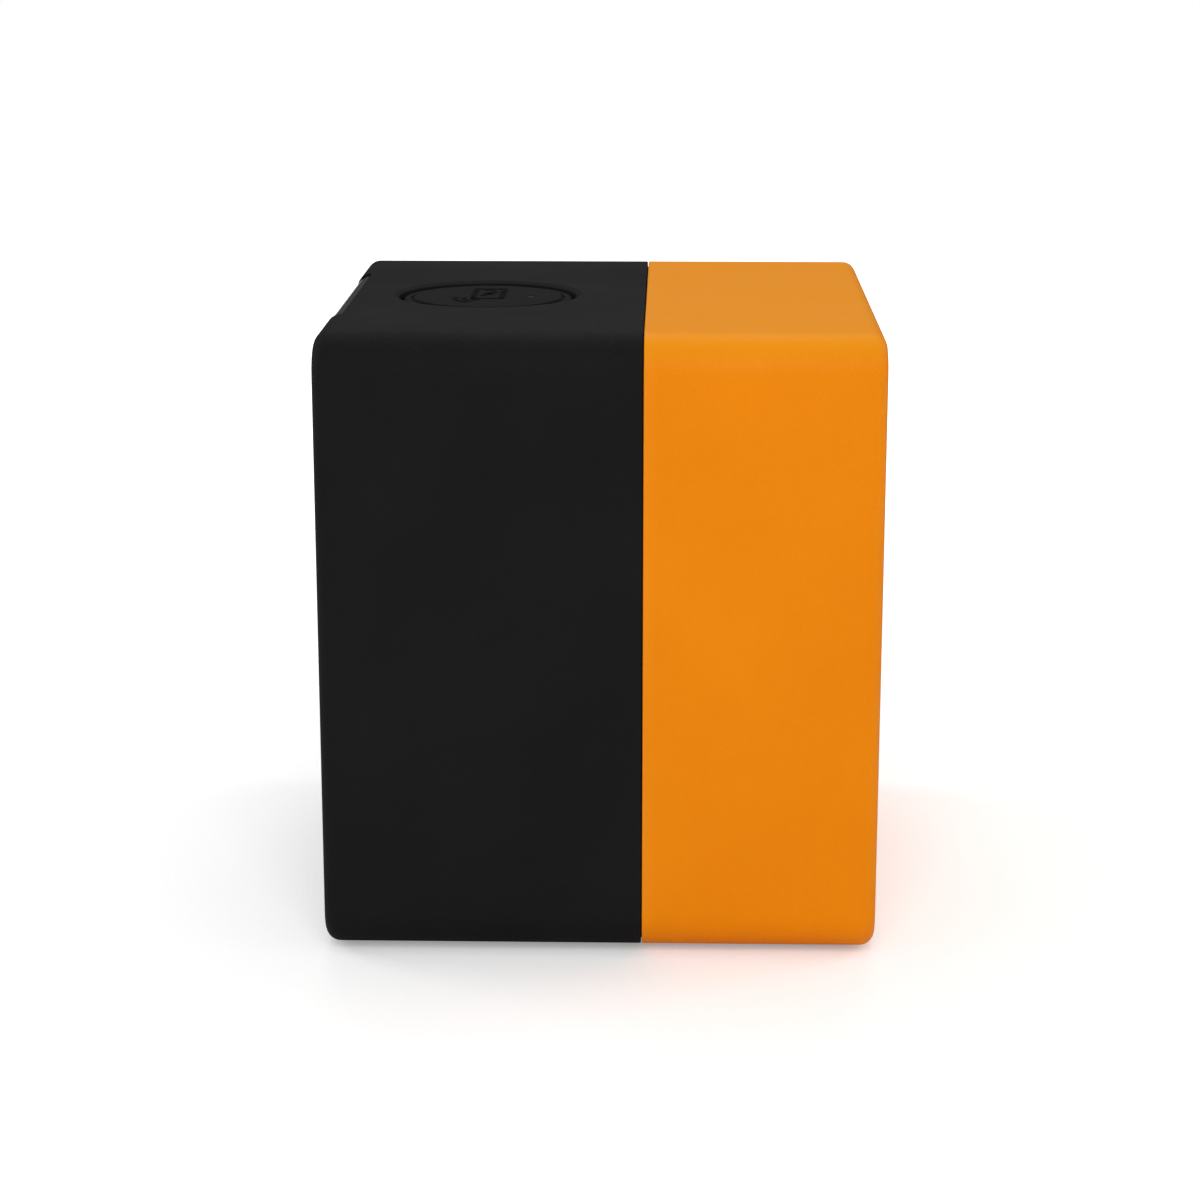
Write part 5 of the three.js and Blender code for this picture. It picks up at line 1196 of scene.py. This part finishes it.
# %% an outlet, made once and copied
def outlet(name, x):
    """A socket body with two slots, an earth hole and the hollow that the shutter runs in."""
    body = bar(name, (x, OUTLET_Z, 29, 29, 5), FACE - 0.5, FACE + 24, 8, 0.9, 0.2)
    flange = (x, OUTLET_Z, 32.2, 32.2, 6.6)
    carve(body, bar("flange", flange, PLATE_BACK + GAP, PLATE_BACK + GAP + 1.6, 8), way="UNION")
    carve(body, bar("inside", (x, OUTLET_Z, 25.8, 25.8, 3.4), FACE + 2, FACE + 25, 6))
    dish = (x, OUTLET_Z, 23.4, 23.4, 3.2)
    carve(body, hole(dish, FACE - 0.5, FACE - 0.1, lip=0.5))
    for side, height in ((-1, 8.4), (1, 6.8)):
        slot = (x + side * 6.35, OUTLET_Z + 4, 2, height, 0.3)
        carve(body, hole(slot, FACE - 0.1, FACE + 3, lip=0.5))
    earth = (x, OUTLET_Z - 7.9, 5.2, 5.2, 2.6)
    carve(body, hole(earth, FACE - 0.1, FACE + 3, lip=0.5))
    return body


left = outlet("outlet_left", OUTLET_X[0])
right = copied(left, "outlet_right", OUTLET_X[1] - OUTLET_X[0], 0, 0)
for side, body in (("left", left), ("right", right)):
    hand_over(body, [FINISH["dark_plastic"]], "case", "dark_plastic", f"ac_outlet_{side}")

# %% a shutter: a plate with two windows and sloped leads for the blades
for side, x in zip(("left", "right"), OUTLET_X):
    plate = bar(f"shutter_{side}", (x - 1.6, OUTLET_Z + 4, 21, 10.6, 0.8), FACE + 2.3, FACE + 4.3,
                4, 0.25, 0.25)
    for way, height in ((-1, 8.4), (1, 6.8)):
        window = (x + way * 6.35 - 3.2, OUTLET_Z + 4, 2.6, height, 0.3)
        carve(plate, hole(window, FACE + 2.3, FACE + 5, lip=0.25, steps=2))
    name = f"ac_shutter_{side}"
    hand_over(plate, [FINISH["white_plastic"]], name, "white_plastic", name)

# %% [markdown]
# ## USB ports
# A port is a drawn steel shell with a rolled mouth, and a tongue that carries the contacts.
# Shell and tongue are separate parts, as they are in the real connector.

# %% port shells and tongues
def port(name, spot, width, height, radius, wall, depth):
    """A drawn shell, closed at the back."""
    mouth = FACE + 0.4
    shell = bar(name, (spot.x, spot.z, width, height, radius), mouth, mouth + depth, 6, 0.18, 0.1)
    inner = (spot.x, spot.z, width - 2 * wall, height - 2 * wall, max(radius - wall, 0.2))
    return carve(shell, hole(inner, mouth, mouth + depth - wall, lip=0.2))


def tongue(name, spot, width, height, length, rise, back, contacts, pitch, width_of):
    """A white tongue with a row of gilt contacts that wrap it."""
    z = spot.z + rise
    part = bar(name, (spot.x, z, width, height, height * 0.3), back - length, back, 4, 0.15)
    part.data.materials.append(FINISH["white_plastic"])
    first = spot.x - pitch * (contacts - 1) / 2
    strips = []
    for n in range(contacts):
        strip = (first + n * pitch, z, width_of, height + 0.08, 0)
        strips.append(bar("contact", strip, back - length + 0.5, back - 0.6, 1, 0.03))
    strips = gathered("contacts", strips)
    strips.data.materials.append(FINISH["gilt"])
    return gathered(name, [part, strips])


for n, spot in enumerate(USB_A, 1):
    shell = port(f"usb_a_shell_{n}", spot, 13.6, 6.4, 0.6, 0.5, 13.6)
    hand_over(shell, [FINISH["nickel"]], "case", "nickel", f"usb_a_port_{n}")
    part = tongue(f"usb_a_blade_{n}", spot, 11.1, 1.9, 9, 0.9, FACE + 13.2, 4, 2.5, 1.1)
    hand_over(part, [], "case", "white_plastic", f"usb_a_tongue_{n}")
for n, spot in enumerate(USB_C, 1):
    shell = port(f"usb_c_shell_{n}", spot, 9.4, 3.6, 1.7, 0.4, 10)
    hand_over(shell, [FINISH["nickel"]], "case", "nickel", f"usb_c_port_{n}")
    part = tongue(f"usb_c_blade_{n}", spot, 6.7, 0.7, 6.5, 0, FACE + 9.7, 10, 0.6, 0.3)
    hand_over(part, [], "case", "white_plastic", f"usb_c_tongue_{n}")

# %% [markdown]
# ## Round sockets and their covers
# Barrel jacks and the car socket are turned parts. The covers are soft flaps that fold up on
# a knuckle; a ring on the back plugs the socket, and three ridges give a fingernail a hold.

# %% barrel jacks
def barrel_jack(name, spot, mouth, outer, bore, pin, depth, pin_length):
    """A turned body with a rounded mouth, a pin on its floor and a spring sleeve."""
    floor = -(depth - 1.5)
    body = [(0, -depth), (outer - 0.3, -depth), (outer, -depth + 0.3), (outer, -0.45)]
    body += [(outer - 0.45, 0), (bore + 0.55, 0)]
    body += quarter(bore + 0.55, -0.55, 0.55, 90, 180, 4)[1:] + [(bore, floor), (0, floor)]
    jack = turned(name, body, (spot.x, mouth, spot.z), "front", 64)
    jack.data.materials.append(FINISH["dark_plastic"])
    tip = floor + pin_length - 1
    centre = [(0, floor - 0.3), (pin, floor - 0.3), (pin, tip - pin * 0.8)]
    centre += quarter(pin * 0.2, tip - pin * 0.8, pin * 0.8, 0, 90, 4) + [(0, tip)]
    post = turned("pin", centre, (spot.x, mouth, spot.z), "front", 24)
    post.data.materials.append(FINISH["nickel"])
    sleeve = [(bore - 0.02, floor + 0.3), (bore - 0.02, -2.0), (bore - 0.25, -2.2)]
    sleeve += [(bore - 0.35, floor + 0.3), (bore - 0.02, floor + 0.3)]
    spring = turned("spring", sleeve, (spot.x, mouth, spot.z), "front", 48)
    spring.data.materials.append(FINISH["nickel"])
    return gathered(name, [jack, post, spring])


for n, spot in enumerate(JACKS, 1):
    jack = barrel_jack(f"dc_out_{n}", spot, FACE + 0.4, 4.6, 2.9, 1.05, 11, 9)
    hand_over(jack, [], "case", "dark_plastic", f"dc_output_jack_{n}")
jack = barrel_jack("dc_in", INLET, FACE + 1.4, 6.4, 4.1, 0.7, 12, 10)
hand_over(jack, [], "case", "dark_plastic", "dc_input_jack")

# %% the car socket and its contact
BARREL = [(0, -43.5), (12.0, -43.5), (12.2, -43.3), (12.2, -3.8), (15.2, -3.8), (15.2, -2.3)]
BARREL += [(12.2, -2.3), (12.2, -0.3), (11.9, 0), (11.3, 0)]
BARREL += quarter(11.3, -0.7, 0.7, 90, 180, 4)[1:] + [(10.6, -42), (0, -42)]
barrel = turned("car_socket_barrel", BARREL, (CAR.x, FACE + 1.4, CAR.z), "front", 96)
barrel.data.materials.append(FINISH["dark_plastic"])
LINER = [(10.58, -40), (10.58, -3), (10.4, -2.6), (10.2, -3), (10.2, -40), (10.58, -40)]
liner = turned("liner", LINER, (CAR.x, FACE + 1.4, CAR.z), "front", 96)
liner.data.materials.append(FINISH["nickel"])
barrel = gathered("car_socket_barrel", [barrel, liner])
hand_over(barrel, [], "case", "dark_plastic", "car_socket")

CONTACT = [(0, -41.7), (3, -41.7), (3, -37.2), (2.4, -36.4), (1.6, -36.0), (1.2, -35.75)]
CONTACT += [(0, -35.7)]
contact = turned("car_socket_spring", CONTACT, (CAR.x, FACE + 1.4, CAR.z), "front", 48)
hand_over(contact, [FINISH["steel"]], "case", "steel", "car_socket_contact")

# %% the covers
for name, (middle, radius, plug_radius, plug_length) in COVERS.items():
    outer, inner, hinge = FACE - 0.9, FACE + 1.1, middle.z + radius + 4
    flap = bar(name, (middle.x, middle.z, 2 * radius, 2 * radius, radius), outer, inner, 14, 0.6,
               0.2, 5)
    top = hinge - 0.35
    tab = (middle.x, (middle.z + top) / 2, 10, top - middle.z, 0.8)
    carve(flap, bar("tab", tab, outer, inner, 4, 0.5, 0.2), way="UNION")
    ring = [(plug_radius - 1.3, 0.4), (plug_radius, 0.4), (plug_radius, -plug_length + 0.4)]
    ring += [(plug_radius - 0.4, -plug_length), (plug_radius - 1.3, -plug_length)]
    ring += [(plug_radius - 1.3, 0.4)]
    place = (middle.x, inner, middle.z)
    carve(flap, turned("plug_ring", ring, place, "front", 64), way="UNION")
    knuckle = [(0, -6.2), (0.45, -6.2), (0.55, -6.1), (0.55, -5.0), (1.0, -5.0), (1.2, -4.8)]
    knuckle += [(1.2, 4.8), (1.0, 5.0), (0.55, 5.0), (0.55, 6.1), (0.45, 6.2), (0, 6.2)]
    pivot = (middle.x, FACE + 1.1, hinge)
    carve(flap, turned("knuckle", knuckle, pivot, "right", 24), way="UNION")
    rim = (middle.x, middle.z, 2 * radius - 4.5, 2 * radius - 4.5, radius - 2.25)
    carve(flap, hole(rim, outer, outer + 0.35, lip=0.4, steps=3, corner_steps=12))
    ridges = []
    for n in range(3):
        low = middle.z - radius * 0.62 + n * 1.5
        ridges.append(stroke(middle.x, low, radius * 0.62, 0.8, depth=0.3, face=outer + 0.35))
    carve(flap, *ridges, way="UNION")
    flap.data.materials.clear()
    hand_over(flap, [FINISH["soft_rubber"]], name, "soft_rubber", name)

# %% [markdown]
# ## The lamp's lens
# A frosted bar with fine upright flutes that spread the light of the diodes behind it.

# %% the lens and its flutes
lens = bar("lamp_bar", (0, LAMP.z, 92, 9, 4.5), FACE - 0.2, PLATE_BACK + GAP + 0.5, 10, 0.25)
flange = bar("flange", (0, LAMP.z, 94.6, 11.6, 5.8), PLATE_BACK + GAP, PLATE_BACK + GAP + 1.3, 8)
carve(lens, flange, way="UNION")
flute = stroke(-42, LAMP.z, 7.0, 1.3, 90, depth=0.3, face=FACE - 0.2)
edit(flute)
choose("edges", rim_of(0, -1, 0))
bpy.ops.mesh.bevel(offset=0.22 * MM, segments=2, affect="EDGES")
bpy.ops.object.mode_set(mode="OBJECT")
flutes = [flute] + [copied(flute, "flute", 1.5 * n, 0, 0) for n in range(1, 57)]
lens = gathered("lamp_bar", [lens, gathered("flutes", flutes)])
hand_over(lens, [FINISH["frosted_lens"]], "case", "frosted_lens", "lamp_lens")

# %% [markdown]
# ## The display
# A smoked window bends over the upper front edge. Behind it a dark glass shows the charge as
# a ring of bars round two figures of seven strokes each, and the power going in and out.

# %% the window
window = bent_strip("smoked_window", 45, 143, -80.5, 0.5, 2.5)
hand_over(window, [FINISH["smoked_window"]], "case", "smoked_window", "display_window")

# %% the display's glass and board
GLASS = -81.9
glass = bar("display_glass", (0, 165, 74, 32, 1), GLASS, -76, 4, 0.2)
glass.data.materials.append(FINISH["display_glass"])
board = bar("display_board", (0, 165, 151, 24, 2), -69, -67.4, 4)
spacer = bar("display_spacer", (0, 165, 60, 20, 1), -76.5, -68.5, 3)
board = carve(board, spacer, way="UNION")
board.data.materials.append(FINISH["circuit_board"])


def figure(x, z, strokes, size=1.0):
    """A figure made of up to seven strokes, named a to g from the top, clockwise, then middle."""
    spots = {
        "a": (0, 4, 0), "b": (2.2, 2, 90), "c": (2.2, -2, 90), "d": (0, -4, 0),
        "e": (-2.2, -2, 90), "f": (-2.2, 2, 90), "g": (0, 0, 0),
    }
    made = []
    for letter in strokes:
        dx, dz, turn = spots[letter]
        place = (x + dx * size, z + dz * size, 3.1 * size, 0.75 * size, turn)
        made.append(stroke(*place, depth=0.03, face=GLASS))
    return made


lit = figure(-4.2, 165, "abcdfg", 1.15) + figure(3.6, 165, "abcdef", 1.15)
for n in range(20):
    turn = 90 - n * 18
    x, z = (12.2 * f(math.radians(turn)) for f in (math.cos, math.sin))
    lit.append(stroke(x, 165 + z, 2.6, 0.9, turn, depth=0.03, face=GLASS))
for side in (-1, 1):
    lit += [stroke(side * 27, 165 - 7 + 3.4 * n, 10 - 1.2 * n, 1.3, depth=0.03, face=GLASS)
            for n in range(5)]
    arrow = side * 27
    lit += [stroke(arrow - 1.2, 175.4, 3.0, 0.6, 40, depth=0.03, face=GLASS),
            stroke(arrow - 1.2, 177.2, 3.0, 0.6, -40, depth=0.03, face=GLASS)]
lit = gathered("lit_strokes", lit)
lit.data.materials.append(FINISH["display_light"])
display = gathered("display_glass", [glass, board, lit])
hand_over(display, [], "case", "circuit_board", "display_module")

# %% leave edit mode and clear the selection
start_clean()
